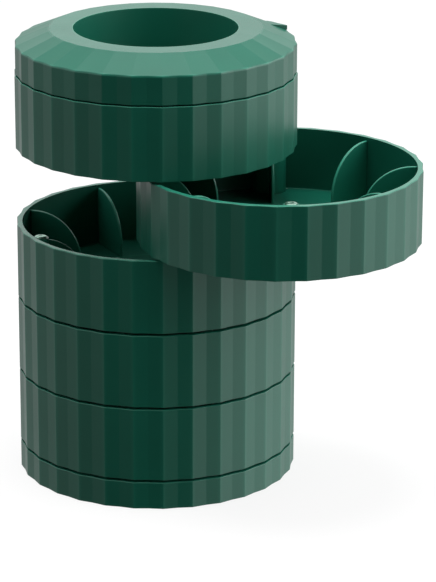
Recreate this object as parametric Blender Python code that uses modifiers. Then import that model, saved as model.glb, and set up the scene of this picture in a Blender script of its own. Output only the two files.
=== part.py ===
"""Coffee capsule dispenser: a fluted base, five fluted trays and a lid on one rod.

Every tray and the lid swing about the rod, which stands near the rim of the
base. The fourth tray is modelled swung out and the others are closed.

Units are metres and +Z is up. The origin is the centre of the underside of
the anti-slip pad, and +X points from the stack's axis to the rod.
"""

import math

import bmesh
import bpy
from mathutils import Matrix, Vector

# Fluted outline, shared by the base, the trays and the lid
FLUTE_COUNT = 30
FLUTE_PEAK_RADIUS = 0.0792
FLUTE_DEPTH = 0.0009
WALL_THICKNESS = 0.0034

# Stack of trays
TRAY_COUNT = 5
TRAY_HEIGHT = 0.04165
TIER_GAP = 0.0015
OPEN_TRAY = 4
OPEN_SWING_DEGREES = 66

# Inside of a tray
FLOOR_RECESS = 0.00365
FLOOR_THICKNESS = 0.002
FIN_COUNT = 8
FIN_THICKNESS = 0.0016
FIN_TOP_DROP = 0.002
FIN_LEDGE = 0.0027
FIN_CURVE_RADIUS = 0.0276

# Rod and the hubs that turn on it
ROD_RADIUS = 0.0035
ROD_INSET = 0.0066
HUB_RADIUS = 0.0095
FIT_GAP = 0.0003
ROD_END_CHAMFER = 0.0006

# Washers between the hubs, and the clip that keeps the trays on the rod
WASHER_RADIUS = 0.0055
CLIP_RADIUS = 0.0054
CLIP_THICKNESS = 0.0005
CLIP_GROOVE_DEPTH = 0.0007
CLIP_MOUTH = 0.0036

# Columns opposite the rod, each with a domed glide button
COLUMN_RADIUS = 0.0044
COLUMN_DROP = 0.001
BUTTON_RADIUS = 0.0034
BUTTON_EDGE = 0.0003
BUTTON_DOME = 0.0005
BUTTON_STEM_RADIUS = 0.0015
BUTTON_STEM_LENGTH = 0.004

# Lid
LID_GAP = 0.0008
LID_SETBACK = 0.0005
LID_WALL_HEIGHT = 0.0153
LID_EDGE_HEIGHT = 0.001
LID_EDGE_INSET = 0.0004
LID_SLOPE_RISE = 0.0079
LID_RING_RADIUS = 0.0593
LID_SHELL = 0.0022
LID_BOSS_HEIGHT = 0.0192
LID_BOSS_ROOF = 0.0026
LID_BOSS_SETBACK = 0.0003
LID_BOSS_INNER_RADIUS = 0.068
LID_BOSS_HALF_DEGREES = 8.6
LID_BOSS_FALL_OUTWARD_SHARE = 0.13
LID_BOSS_FALL_ACROSS_SHARE = 0.12
WELL_RADIUS = 0.046
WELL_SINK = 0.0004
WELL_FLOOR = 0.0011

# Base
BASE_TOP = 0.01575
BASE_LIFT = 0.0002
BASE_DECK = 0.0022
BOSS_LIFT = 0.0009
ROD_SEAT_HEIGHT = 0.006

# Screw that draws the rod into the base
ROD_SCREW_RADIUS = 0.0015
ROD_SCREW_HEAD_RADIUS = 0.0032
ROD_SCREW_HEAD_HEIGHT = 0.0022
ROD_SCREW_GRIP = 0.008
ROD_SEAT_WEB = 0.0022

# Cover under the base, its screws and the anti-slip pad
COVER_BOTTOM = 0.0015
COVER_THICKNESS = 0.002
COVER_SCREW_COUNT = 3
COVER_SCREW_INSET = 0.0095
COVER_SCREW_RADIUS = 0.0014
COVER_SCREW_HEAD_RADIUS = 0.0029
COVER_SCREW_HEAD_HEIGHT = 0.001
COVER_SCREW_GRIP = 0.0055
COVER_BOSS_RADIUS = 0.0038
SOCKET_RADIUS = 0.0012
SOCKET_DEPTH_SHARE = 0.6
PAD_CLEARANCE = 0.0034
PAD_THICKNESS = 0.0012

# Facets of the round shapes, and how far a cut runs past what it cuts
BOWL_SEGMENTS = 2 * FLUTE_COUNT
HUB_SEGMENTS = 24
SMALL_SEGMENTS = 16
FIN_ARC_STEPS = 9
DOME_STEPS = 4
OVERRUN = 0.002
WELD_DISTANCE = 0.00001
FLAT_ANGLE_DEGREES = 0.05
FLUTED_SMOOTH_DEGREES = 9
ROUND_SMOOTH_DEGREES = 30

# Places worked out from the sizes above
INNER_RADIUS = FLUTE_PEAK_RADIUS - WALL_THICKNESS
ROD_PLACE = FLUTE_PEAK_RADIUS - ROD_INSET
COLUMN_PLACE = INNER_RADIUS - BUTTON_RADIUS - 2 * FIT_GAP
BORE_RADIUS = ROD_RADIUS + FIT_GAP
TIER_PITCH = TRAY_HEIGHT + TIER_GAP
WASHER_THICKNESS = TIER_GAP - 2 * FIT_GAP
STACK_TOP = BASE_TOP + TRAY_COUNT * TIER_PITCH
LID_BOTTOM = STACK_TOP + LID_GAP
LID_PEAK_RADIUS = FLUTE_PEAK_RADIUS - LID_SETBACK
LID_EDGE_RADIUS = LID_PEAK_RADIUS - LID_EDGE_INSET
LID_INNER_RADIUS = LID_PEAK_RADIUS - WALL_THICKNESS
LID_SLOPE_BOTTOM = LID_BOTTOM + LID_WALL_HEIGHT + LID_EDGE_HEIGHT
LID_TOP = LID_SLOPE_BOTTOM + LID_SLOPE_RISE
BOSS_TOP = LID_BOTTOM + LID_BOSS_HEIGHT
ROD_TOP = BOSS_TOP - LID_BOSS_ROOF - FIT_GAP
COVER_TOP = COVER_BOTTOM + COVER_THICKNESS
COVER_SCREW_PLACE = INNER_RADIUS - COVER_SCREW_INSET
PAD_RADIUS = COVER_SCREW_PLACE - COVER_SCREW_HEAD_RADIUS - PAD_CLEARANCE

GREEN = (0.012, 0.105, 0.072)
DARK_GREEN = (0.010, 0.085, 0.060)
NICKEL = (0.60, 0.61, 0.58)
STEEL = (0.62, 0.63, 0.64)
WASHER_WHITE = (0.75, 0.75, 0.72)
PAD_BLACK = (0.02, 0.02, 0.02)


def clear_scene():
    """Remove every object that is in the scene."""
    for item in list(bpy.data.objects):
        bpy.data.objects.remove(item, do_unlink=True)


def new_collection(name):
    """Make a collection under the scene's own."""
    group = bpy.data.collections.new(name)
    bpy.context.scene.collection.children.link(group)
    return group


def plastic_or_metal(name, colour, roughness, metallic=0.0):
    """Make one Principled material."""
    material = bpy.data.materials.new(name)
    material.use_nodes = True
    shader = material.node_tree.nodes["Principled BSDF"]
    shader.inputs["Base Color"].default_value = (*colour, 1.0)
    shader.inputs["Roughness"].default_value = roughness
    shader.inputs["Metallic"].default_value = metallic
    material.diffuse_color = (*colour, 1.0)
    return material


def add_cutter(name, mesh):
    """Put a mesh in the cutters' collection as a hidden guide."""
    item = bpy.data.objects.new(name, mesh)
    CUTTERS.objects.link(item)
    item.hide_render = True
    item.display_type = "WIRE"
    return item


def evaluated_mesh(item):
    """Return the mesh that an object's modifiers or curve settings make."""
    bpy.context.view_layer.update()
    seen = item.evaluated_get(bpy.context.evaluated_depsgraph_get())
    mesh = bpy.data.meshes.new_from_object(seen)
    shape = bmesh.new()
    shape.from_mesh(mesh)
    bmesh.ops.remove_doubles(shape, verts=shape.verts, dist=WELD_DISTANCE)
    flat = math.radians(FLAT_ANGLE_DEGREES)
    bmesh.ops.dissolve_limit(shape, angle_limit=flat, verts=shape.verts, edges=shape.edges)
    bmesh.ops.recalc_face_normals(shape, faces=shape.faces)
    shape.to_mesh(mesh)
    shape.free()
    return mesh


def settle(item):
    """Apply an object's modifiers to its own mesh."""
    mesh = evaluated_mesh(item)
    item.modifiers.clear()
    item.data = mesh
    return item


def cylinder(name, radius, bottom, top, x=0.0, y=0.0, segments=HUB_SEGMENTS):
    """Make an upright cylinder between two heights."""
    shape = bmesh.new()
    bmesh.ops.create_cone(
        shape, cap_ends=True, segments=segments, radius1=radius, radius2=radius, depth=top - bottom
    )
    bmesh.ops.translate(shape, verts=shape.verts, vec=(x, y, (top + bottom) / 2))
    mesh = bpy.data.meshes.new(name)
    shape.to_mesh(mesh)
    shape.free()
    return add_cutter(name, mesh)


def turned(name, profile, segments, x=0.0, y=0.0):
    """Turn a profile of (radius, height) points, listed from top to bottom, about Z."""
    mesh = bpy.data.meshes.new(name)
    points = [(radius, 0.0, height) for radius, height in profile]
    edges = [(i, i + 1) for i in range(len(points) - 1)]
    if profile[0][0] > 0.0:
        edges.append((len(points) - 1, 0))
    mesh.from_pydata(points, edges, [])
    item = add_cutter(name, mesh)
    screw = item.modifiers.new("turn", "SCREW")
    screw.axis = "Z"
    screw.steps = segments
    screw.render_steps = segments
    screw.use_merge_vertices = True
    screw.merge_threshold = WELD_DISTANCE
    settle(item)
    item.data.transform(Matrix.Translation((x, y, 0.0)))
    return item


def flat_piece(name, outline, thickness):
    """Make a plate from an outline in the XY plane, centred on that plane."""
    curve = bpy.data.curves.new(name, "CURVE")
    curve.dimensions = "2D"
    curve.fill_mode = "BOTH"
    curve.extrude = thickness / 2
    spline = curve.splines.new("POLY")
    spline.points.add(len(outline) - 1)
    for point, (x, y) in zip(spline.points, outline):
        point.co = (x, y, 0.0, 1.0)
    spline.use_cyclic_u = True
    drawn = bpy.data.objects.new(name + "_outline", curve)
    CUTTERS.objects.link(drawn)
    mesh = evaluated_mesh(drawn)
    bpy.data.objects.remove(drawn, do_unlink=True)
    return add_cutter(name, mesh)


def flute_ring(peak_radius, valley_radius):
    """List the zigzag points of one fluted ring, with a valley facing the rod."""
    points = []
    for index in range(2 * FLUTE_COUNT):
        radius = peak_radius if index % 2 else valley_radius
        angle = math.pi * index / FLUTE_COUNT
        points.append((radius * math.cos(angle), radius * math.sin(angle)))
    return points


def fluted_prism(name, peak_radius, bottom, top):
    """Make an upright fluted solid between two heights."""
    outline = flute_ring(peak_radius, peak_radius - FLUTE_DEPTH)
    item = flat_piece(name, outline, top - bottom)
    item.data.transform(Matrix.Translation((0.0, 0.0, (top + bottom) / 2)))
    return item


def loft(name, outlines):
    """Loft a solid through closed rings of points, listed from the lowest ring up."""
    shape = bmesh.new()
    rings = [[shape.verts.new(point) for point in outline] for outline in outlines]
    for lower, upper in zip(rings, rings[1:]):
        for index in range(len(lower)):
            following = (index + 1) % len(lower)
            shape.faces.new((lower[index], lower[following], upper[following], upper[index]))
    shape.faces.new(list(reversed(rings[0])))
    shape.faces.new(rings[-1])
    mesh = bpy.data.meshes.new(name)
    shape.to_mesh(mesh)
    shape.free()
    return add_cutter(name, mesh)


def fluted_loft(name, sections):
    """Loft a solid through fluted rings given as (height, peak radius, valley radius)."""
    outlines = []
    for height, peak_radius, valley_radius in sections:
        ring = flute_ring(peak_radius, valley_radius)
        outlines.append([(x, y, height) for x, y in ring])
    return loft(name, outlines)


def combine(target, other, operation):
    """Add one exact Boolean modifier to a solid."""
    modifier = target.modifiers.new(other.name, "BOOLEAN")
    modifier.operation = operation
    modifier.solver = "EXACT"
    modifier.object = other
    return target


def cut(target, *others):
    """Cut other solids out of a solid."""
    for other in others:
        combine(target, other, "DIFFERENCE")
    return settle(target)


def fuse(target, *others):
    """Join other solids to a solid."""
    for other in others:
        combine(target, other, "UNION")
    return settle(target)


def add_part(name, mesh, material, axis=None, smooth=ROUND_SMOOTH_DEGREES):
    """Make the named object of one sub-part, hung on the empty of its joint if it has one."""
    item = bpy.data.objects.new(name, mesh.copy())
    PARTS.objects.link(item)
    item.data.materials.clear()
    item.data.materials.append(material)
    item.data.shade_smooth()
    item.data.set_sharp_from_angle(angle=math.radians(smooth))
    if axis is not None:
        item.data.transform(Matrix.Translation((-ROD_PLACE, 0.0, 0.0)))
        item.parent = axis
    return item


def swing_axis(name, height, degrees):
    """Make the empty on the rod's axis that a tray or the lid swings with."""
    empty = bpy.data.objects.new(name, None)
    PARTS.objects.link(empty)
    empty.location = (ROD_PLACE, 0.0, height)
    empty.rotation_euler = (0.0, 0.0, math.radians(degrees))
    return empty


def tray_bottom(number):
    """Height of the lower edge of a tray, counted from 1."""
    return BASE_TOP + TIER_GAP + (number - 1) * TIER_PITCH


def fin_blank(number, rim, floor):
    """Make one quarter-round fin, standing on the floor and running into the wall."""
    top = rim - FIN_TOP_DROP
    arc_radius_centre = INNER_RADIUS - FIN_LEDGE
    arc_height_centre = top - FIN_CURVE_RADIUS
    foot = min(floor, arc_height_centre) - OVERRUN
    outer = INNER_RADIUS + WALL_THICKNESS / 3
    outline = [(outer, foot), (outer, top)]
    for step in range(FIN_ARC_STEPS + 1):
        angle = math.pi / 2 * step / FIN_ARC_STEPS
        radius = arc_radius_centre - FIN_CURVE_RADIUS * math.sin(angle)
        height = arc_height_centre + FIN_CURVE_RADIUS * math.cos(angle)
        outline.append((radius, height))
    outline.append((arc_radius_centre - FIN_CURVE_RADIUS, foot))
    fin = flat_piece(f"fin_{number}", outline, FIN_THICKNESS)
    stand = Matrix.Rotation(math.pi / 2, 4, "X")
    turn = Matrix.Rotation(2 * math.pi * number / FIN_COUNT, 4, "Z")
    fin.data.transform(turn @ stand)
    return fin


def tray_mesh():
    """Build one tray: fluted wall, raised floor, fins, hub and column."""
    rim = TRAY_HEIGHT
    floor = FLOOR_RECESS + FLOOR_THICKNESS
    column_top = rim - COLUMN_DROP
    tray = fluted_prism("tray_blank", FLUTE_PEAK_RADIUS, 0.0, rim)
    bowl = cylinder("tray_bowl", INNER_RADIUS, floor, rim + OVERRUN, segments=BOWL_SEGMENTS)
    recess = cylinder("tray_recess", INNER_RADIUS, -OVERRUN, FLOOR_RECESS, segments=BOWL_SEGMENTS)
    hub = cylinder("tray_hub", HUB_RADIUS, -2 * OVERRUN, rim + 2 * OVERRUN, x=ROD_PLACE)
    column = cylinder(
        "tray_column", COLUMN_RADIUS, -2 * OVERRUN, column_top, x=-COLUMN_PLACE, segments=SMALL_SEGMENTS
    )
    fins = [fin_blank(number, rim, floor) for number in range(FIN_COUNT)]
    cut(bowl, *fins)
    cut(bowl, hub, column)
    cut(recess, hub, column)
    bore = cylinder("tray_bore", BORE_RADIUS, -OVERRUN, rim + OVERRUN, x=ROD_PLACE)
    cut(tray, bowl)
    cut(tray, recess)
    cut(tray, bore, stem_bore("tray_stem_bore", column_top))
    return tray.data


def stem_bore(name, column_top):
    """Make the blind hole that a glide button's stem drops into."""
    bottom = column_top - BUTTON_STEM_LENGTH - FIT_GAP
    return cylinder(
        name,
        BUTTON_STEM_RADIUS + FIT_GAP,
        bottom,
        column_top + OVERRUN,
        x=-COLUMN_PLACE,
        segments=SMALL_SEGMENTS,
    )


def button_mesh(column_top):
    """Build a glide button: a domed head on a stem."""
    seat = column_top + FIT_GAP
    edge = seat + BUTTON_EDGE
    dome_radius = (BUTTON_RADIUS**2 + BUTTON_DOME**2) / (2 * BUTTON_DOME)
    spread = math.asin(BUTTON_RADIUS / dome_radius)
    profile = []
    for step in range(DOME_STEPS + 1):
        angle = spread * step / DOME_STEPS
        height = edge + BUTTON_DOME - dome_radius * (1 - math.cos(angle))
        profile.append((dome_radius * math.sin(angle), height))
    profile.append((BUTTON_RADIUS, seat))
    profile.append((BUTTON_STEM_RADIUS, seat))
    profile.append((BUTTON_STEM_RADIUS, column_top - BUTTON_STEM_LENGTH))
    profile.append((0.0, column_top - BUTTON_STEM_LENGTH))
    return turned("button", profile, SMALL_SEGMENTS, x=-COLUMN_PLACE).data


def ring_mesh(name, inner_radius, outer_radius, bottom, thickness):
    """Build a flat ring on the rod's axis."""
    profile = [
        (inner_radius, bottom + thickness),
        (outer_radius, bottom + thickness),
        (outer_radius, bottom),
        (inner_radius, bottom),
    ]
    return turned(name, profile, HUB_SEGMENTS, x=ROD_PLACE)


def clip_bottom():
    """Height of the underside of the retaining clip."""
    return STACK_TOP + FIT_GAP


def clip_mesh():
    """Build the retaining clip: a ring with a mouth, sprung into the rod's groove."""
    inner = ROD_RADIUS - CLIP_GROOVE_DEPTH + FIT_GAP
    clip = ring_mesh("clip", inner, CLIP_RADIUS, clip_bottom(), CLIP_THICKNESS)
    mouth = flat_piece(
        "clip_mouth",
        [
            (ROD_PLACE - CLIP_MOUTH / 2, 0.0),
            (ROD_PLACE + CLIP_MOUTH / 2, 0.0),
            (ROD_PLACE + CLIP_MOUTH / 2, CLIP_RADIUS + OVERRUN),
            (ROD_PLACE - CLIP_MOUTH / 2, CLIP_RADIUS + OVERRUN),
        ],
        CLIP_THICKNESS + 2 * OVERRUN,
    )
    mouth.data.transform(Matrix.Translation((0.0, 0.0, clip_bottom())))
    return cut(clip, mouth).data


def rod_mesh():
    """Build the rod, with a groove for the clip and a tapped hole for its screw."""
    groove_radius = ROD_RADIUS - CLIP_GROOVE_DEPTH
    groove_top = clip_bottom() + CLIP_THICKNESS + FIT_GAP
    groove_bottom = clip_bottom() - FIT_GAP
    hole_radius = ROD_SCREW_RADIUS + FIT_GAP
    foot = ROD_SEAT_HEIGHT + FIT_GAP
    hole_top = foot + ROD_SCREW_GRIP + FIT_GAP
    profile = [
        (0.0, ROD_TOP),
        (ROD_RADIUS - ROD_END_CHAMFER, ROD_TOP),
        (ROD_RADIUS, ROD_TOP - ROD_END_CHAMFER),
        (ROD_RADIUS, groove_top),
        (groove_radius, groove_top),
        (groove_radius, groove_bottom),
        (ROD_RADIUS, groove_bottom),
        (ROD_RADIUS, foot),
        (hole_radius, foot),
        (hole_radius, hole_top),
        (0.0, hole_top),
    ]
    return turned("rod", profile, HUB_SEGMENTS, x=ROD_PLACE).data


def screw_mesh(name, radius, head_radius, head_top, head_height, grip, x, y):
    """Build a pan-head screw that points up, with a hex socket in its head."""
    head_bottom = head_top - head_height
    profile = [
        (0.0, head_top + grip),
        (radius, head_top + grip),
        (radius, head_top),
        (head_radius, head_top),
        (head_radius, head_bottom),
        (0.0, head_bottom),
    ]
    screw = turned(name, profile, SMALL_SEGMENTS, x=x, y=y)
    socket_top = head_bottom + head_height * SOCKET_DEPTH_SHARE
    socket = cylinder(name + "_socket", SOCKET_RADIUS, head_bottom - OVERRUN, socket_top, x, y, segments=6)
    return cut(screw, socket).data


def rod_screw_mesh():
    """Build the screw that draws the rod into the base."""
    web_bottom = ROD_SEAT_HEIGHT - ROD_SEAT_WEB
    head_top = web_bottom - FIT_GAP
    grip = ROD_SEAT_WEB + 2 * FIT_GAP + ROD_SCREW_GRIP
    return screw_mesh(
        "rod_screw_blank",
        ROD_SCREW_RADIUS,
        ROD_SCREW_HEAD_RADIUS,
        head_top,
        ROD_SCREW_HEAD_HEIGHT,
        grip,
        ROD_PLACE,
        0.0,
    )


def cover_screw_places():
    """List the places of the cover's screws, spread evenly and clear of the hub."""
    places = []
    for number in range(COVER_SCREW_COUNT):
        angle = 2 * math.pi * (number + 0.5) / COVER_SCREW_COUNT
        places.append(Vector((math.cos(angle), math.sin(angle))) * COVER_SCREW_PLACE)
    return places


def cover_screw_mesh(place):
    """Build one of the screws that hold the cover to the base."""
    head_top = COVER_BOTTOM - FIT_GAP
    grip = COVER_THICKNESS + 2 * FIT_GAP + COVER_SCREW_GRIP
    return screw_mesh(
        "cover_screw_blank",
        COVER_SCREW_RADIUS,
        COVER_SCREW_HEAD_RADIUS,
        head_top,
        COVER_SCREW_HEAD_HEIGHT,
        grip,
        place.x,
        place.y,
    )


def base_mesh():
    """Build the base: fluted skirt and deck, with bosses for the rod, button and screws."""
    deck_underside = BASE_TOP - BASE_DECK
    base = fluted_prism("base_blank", FLUTE_PEAK_RADIUS, BASE_LIFT, BASE_TOP)
    below = BASE_LIFT - OVERRUN
    hollow = cylinder("base_hollow", INNER_RADIUS, below, deck_underside, segments=BOWL_SEGMENTS)
    rod_boss = cylinder("rod_boss", HUB_RADIUS, BOSS_LIFT, BASE_TOP, x=ROD_PLACE)
    button_seat = BASE_TOP - COLUMN_DROP
    button_foot = button_seat - BUTTON_STEM_LENGTH - BASE_DECK
    button_boss = cylinder(
        "button_boss", COLUMN_RADIUS, button_foot, BASE_TOP, x=-COLUMN_PLACE, segments=SMALL_SEGMENTS
    )
    cut(hollow, rod_boss, button_boss)
    for number, place in enumerate(cover_screw_places()):
        boss = cylinder(
            f"cover_boss_{number}",
            COVER_BOSS_RADIUS,
            COVER_TOP + FIT_GAP,
            BASE_TOP,
            x=place.x,
            y=place.y,
            segments=SMALL_SEGMENTS,
        )
        cut(hollow, boss)
    cut(base, hollow)
    web_bottom = ROD_SEAT_HEIGHT - ROD_SEAT_WEB
    rod_seat = cylinder("rod_seat", BORE_RADIUS, ROD_SEAT_HEIGHT, BASE_TOP + OVERRUN, x=ROD_PLACE)
    screw_hole = cylinder(
        "rod_screw_hole",
        ROD_SCREW_RADIUS + FIT_GAP,
        web_bottom - OVERRUN,
        ROD_SEAT_HEIGHT + OVERRUN,
        x=ROD_PLACE,
        segments=SMALL_SEGMENTS,
    )
    head_well = cylinder(
        "rod_screw_well",
        ROD_SCREW_HEAD_RADIUS + FIT_GAP,
        BOSS_LIFT - OVERRUN,
        web_bottom,
        x=ROD_PLACE,
        segments=SMALL_SEGMENTS,
    )
    button_dip = cylinder(
        "button_dip",
        BUTTON_RADIUS + FIT_GAP,
        button_seat,
        BASE_TOP + OVERRUN,
        x=-COLUMN_PLACE,
        segments=HUB_SEGMENTS,
    )
    cut(base, rod_seat, head_well, screw_hole, button_dip, stem_bore("base_stem_bore", button_seat))
    for number, place in enumerate(cover_screw_places()):
        hole = cylinder(
            f"cover_screw_hole_{number}",
            COVER_SCREW_RADIUS + FIT_GAP,
            COVER_TOP - OVERRUN,
            COVER_TOP + 2 * FIT_GAP + COVER_SCREW_GRIP,
            x=place.x,
            y=place.y,
            segments=SMALL_SEGMENTS,
        )
        cut(base, hole)
    return base.data


def cover_mesh():
    """Build the plate that closes the base from below, notched round the rod's boss."""
    radius = INNER_RADIUS - FIT_GAP
    cover = cylinder("cover_blank", radius, COVER_BOTTOM, COVER_TOP, segments=BOWL_SEGMENTS)
    notch = cylinder(
        "cover_notch", HUB_RADIUS + FIT_GAP, COVER_BOTTOM - OVERRUN, COVER_TOP + OVERRUN, x=ROD_PLACE
    )
    cut(cover, notch)
    for number, place in enumerate(cover_screw_places()):
        hole = cylinder(
            f"cover_hole_{number}",
            COVER_SCREW_RADIUS + FIT_GAP,
            COVER_BOTTOM - OVERRUN,
            COVER_TOP + OVERRUN,
            x=place.x,
            y=place.y,
            segments=SMALL_SEGMENTS,
        )
        cut(cover, hole)
    return cover.data


def boss_block(bottom):
    """Make the block over the rod, three facets wide, whose flat top tilts down and away."""
    peak_radius = LID_PEAK_RADIUS - LID_BOSS_SETBACK
    valley_radius = peak_radius - FLUTE_DEPTH
    flute_turn = math.pi / FLUTE_COUNT
    half_turn = math.radians(LID_BOSS_HALF_DEGREES)
    side_radius = peak_radius - FLUTE_DEPTH * (half_turn / flute_turn - 1)
    outward = Vector((math.cos(half_turn), -math.sin(half_turn)))
    across = Vector((math.sin(half_turn), math.cos(half_turn)))
    outline = []
    for radius, angle in (
        (LID_BOSS_INNER_RADIUS, -half_turn),
        (side_radius, -half_turn),
        (peak_radius, -flute_turn),
        (valley_radius, 0.0),
        (peak_radius, flute_turn),
        (side_radius, half_turn),
        (LID_BOSS_INNER_RADIUS, half_turn),
    ):
        outline.append(Vector((radius * math.cos(angle), radius * math.sin(angle))))
    crown = []
    for point in outline:
        outward_fall = LID_BOSS_FALL_OUTWARD_SHARE * (point.dot(outward) - side_radius)
        across_fall = LID_BOSS_FALL_ACROSS_SHARE * point.dot(across)
        crown.append((point.x, point.y, BOSS_TOP - outward_fall - across_fall))
    return loft("lid_boss", [[(point.x, point.y, bottom) for point in outline], crown])


def lid_mesh():
    """Build the lid: fluted wall, faceted slope, flat ring, round well, hub and column."""
    wall_top = LID_BOTTOM + LID_WALL_HEIGHT
    ring_valley_radius = LID_RING_RADIUS * math.cos(math.pi / FLUTE_COUNT)
    lid = fluted_loft(
        "lid_blank",
        [
            (LID_BOTTOM, LID_PEAK_RADIUS, LID_PEAK_RADIUS - FLUTE_DEPTH),
            (wall_top, LID_PEAK_RADIUS, LID_PEAK_RADIUS - FLUTE_DEPTH),
            (LID_SLOPE_BOTTOM, LID_EDGE_RADIUS, LID_EDGE_RADIUS - FLUTE_DEPTH),
            (LID_TOP, LID_RING_RADIUS, ring_valley_radius),
        ],
    )
    well_outer = WELL_RADIUS + LID_SHELL
    slope_run = LID_EDGE_RADIUS - FLUTE_DEPTH - ring_valley_radius
    slope_angle = math.atan2(LID_SLOPE_RISE, slope_run)
    roof = LID_TOP - LID_SHELL
    roof_corner = ring_valley_radius - LID_SHELL * math.tan(slope_angle / 2)
    eaves = roof - (LID_INNER_RADIUS - roof_corner) * math.tan(slope_angle)
    hollow = turned(
        "lid_hollow",
        [
            (well_outer, roof),
            (roof_corner, roof),
            (LID_INNER_RADIUS, eaves),
            (LID_INNER_RADIUS, LID_BOTTOM - OVERRUN),
            (well_outer, LID_BOTTOM - OVERRUN),
        ],
        BOWL_SEGMENTS,
    )
    below = LID_BOTTOM - 2 * OVERRUN
    hub = cylinder("lid_hub", HUB_RADIUS, below, BOSS_TOP, x=ROD_PLACE)
    column = cylinder(
        "lid_column", COLUMN_RADIUS, below, roof, x=-COLUMN_PLACE, segments=SMALL_SEGMENTS
    )
    cut(hollow, hub, column)
    cut(lid, hollow)
    boss = boss_block(wall_top)
    well_bottom = LID_BOTTOM - WELL_SINK
    well_floor = well_bottom + WELL_FLOOR
    pan_radius = WELL_RADIUS + LID_SHELL / 2
    pan = cylinder("well_pan", pan_radius, well_bottom, well_floor + WELL_FLOOR, segments=BOWL_SEGMENTS)
    fuse(lid, boss, pan)
    well = cylinder("lid_well", WELL_RADIUS, well_floor, LID_TOP + OVERRUN, segments=BOWL_SEGMENTS)
    bore_top = BOSS_TOP - LID_BOSS_ROOF
    bore = cylinder("lid_bore", BORE_RADIUS, LID_BOTTOM - OVERRUN, bore_top, x=ROD_PLACE)
    recess_top = clip_bottom() + CLIP_THICKNESS + FIT_GAP
    recess = cylinder("clip_recess", CLIP_RADIUS + FIT_GAP, LID_BOTTOM - OVERRUN, recess_top, x=ROD_PLACE)
    cut(lid, well, bore, recess)
    return lid.data


def lowered(mesh, height):
    """Copy a mesh that was built at its height, so that it sits about an empty there."""
    moved = mesh.copy()
    moved.transform(Matrix.Translation((0.0, 0.0, -height)))
    return moved


def build_base():
    """Make the pieces that stand still: base, cover, pad, rod, screws, washers and clip."""
    green = plastic_or_metal("base_green", GREEN, 0.38)
    add_part("base_shell", base_mesh(), green, smooth=FLUTED_SMOOTH_DEGREES)
    add_part("base_cover", cover_mesh(), plastic_or_metal("cover_green", DARK_GREEN, 0.5))
    pad = cylinder("pad_blank", PAD_RADIUS, 0.0, PAD_THICKNESS, segments=BOWL_SEGMENTS)
    add_part("anti_slip_pad", pad.data, plastic_or_metal("pad_rubber", PAD_BLACK, 0.85))
    for number, place in enumerate(cover_screw_places(), start=1):
        steel = plastic_or_metal(f"cover_screw_steel_{number}", STEEL, 0.35, 1.0)
        add_part(f"cover_screw_{number}", cover_screw_mesh(place), steel)
    add_part("pivot_rod", rod_mesh(), plastic_or_metal("rod_steel", STEEL, 0.25, 1.0))
    add_part("rod_screw", rod_screw_mesh(), plastic_or_metal("rod_screw_steel", STEEL, 0.35, 1.0))
    for number in range(1, TRAY_COUNT + 1):
        bottom = tray_bottom(number) - TIER_GAP + FIT_GAP
        ring = ring_mesh("washer", BORE_RADIUS, WASHER_RADIUS, bottom, WASHER_THICKNESS)
        nylon = plastic_or_metal(f"washer_nylon_{number}", WASHER_WHITE, 0.5)
        add_part(f"spacer_washer_{number}", ring.data, nylon)
    add_part("retaining_clip", clip_mesh(), plastic_or_metal("clip_steel", STEEL, 0.4, 1.0))
    button = button_mesh(BASE_TOP - COLUMN_DROP)
    add_part("base_button", button, plastic_or_metal("base_button_nickel", NICKEL, 0.25, 1.0))


def build_trays():
    """Make the five trays and their glide buttons, each pair on its own swing axis."""
    tray = tray_mesh()
    button = button_mesh(TRAY_HEIGHT - COLUMN_DROP)
    for number in range(1, TRAY_COUNT + 1):
        degrees = OPEN_SWING_DEGREES if number == OPEN_TRAY else 0
        axis = swing_axis(f"tray_{number}_axis", tray_bottom(number), degrees)
        green = plastic_or_metal(f"tray_green_{number}", GREEN, 0.38)
        add_part(f"tray_{number}", tray, green, axis, FLUTED_SMOOTH_DEGREES)
        nickel = plastic_or_metal(f"button_nickel_{number}", NICKEL, 0.25, 1.0)
        add_part(f"glide_button_{number}", button, nickel, axis)


def build_lid():
    """Make the lid on its swing axis."""
    axis = swing_axis("lid_axis", LID_BOTTOM, 0)
    green = plastic_or_metal("lid_green", GREEN, 0.38)
    add_part("lid", lowered(lid_mesh(), LID_BOTTOM), green, axis, FLUTED_SMOOTH_DEGREES)


clear_scene()
PARTS = new_collection("coffee_capsule_dispenser")
CUTTERS = new_collection("cutters")
build_base()
build_trays()
build_lid()
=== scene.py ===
"""Looks of the coffee capsule dispenser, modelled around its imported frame.

The stack has a fluted base, five fluted trays and a lid, which all swing on one
steel rod near the rim. Every CAD node is replaced by a finer mesh of the same
sizes: softened flutes and rims, round fin edges, dished buttons, screws with sockets.
Units are metres, +Z is up and +X points from the stack's axis to the rod.
"""

from __future__ import annotations

import logging
import math
from contextlib import contextmanager
from dataclasses import dataclass
from enum import Enum
from typing import Any, Callable, Iterator, Sequence

import bmesh
import bpy
from mathutils import Matrix, Vector

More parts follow.
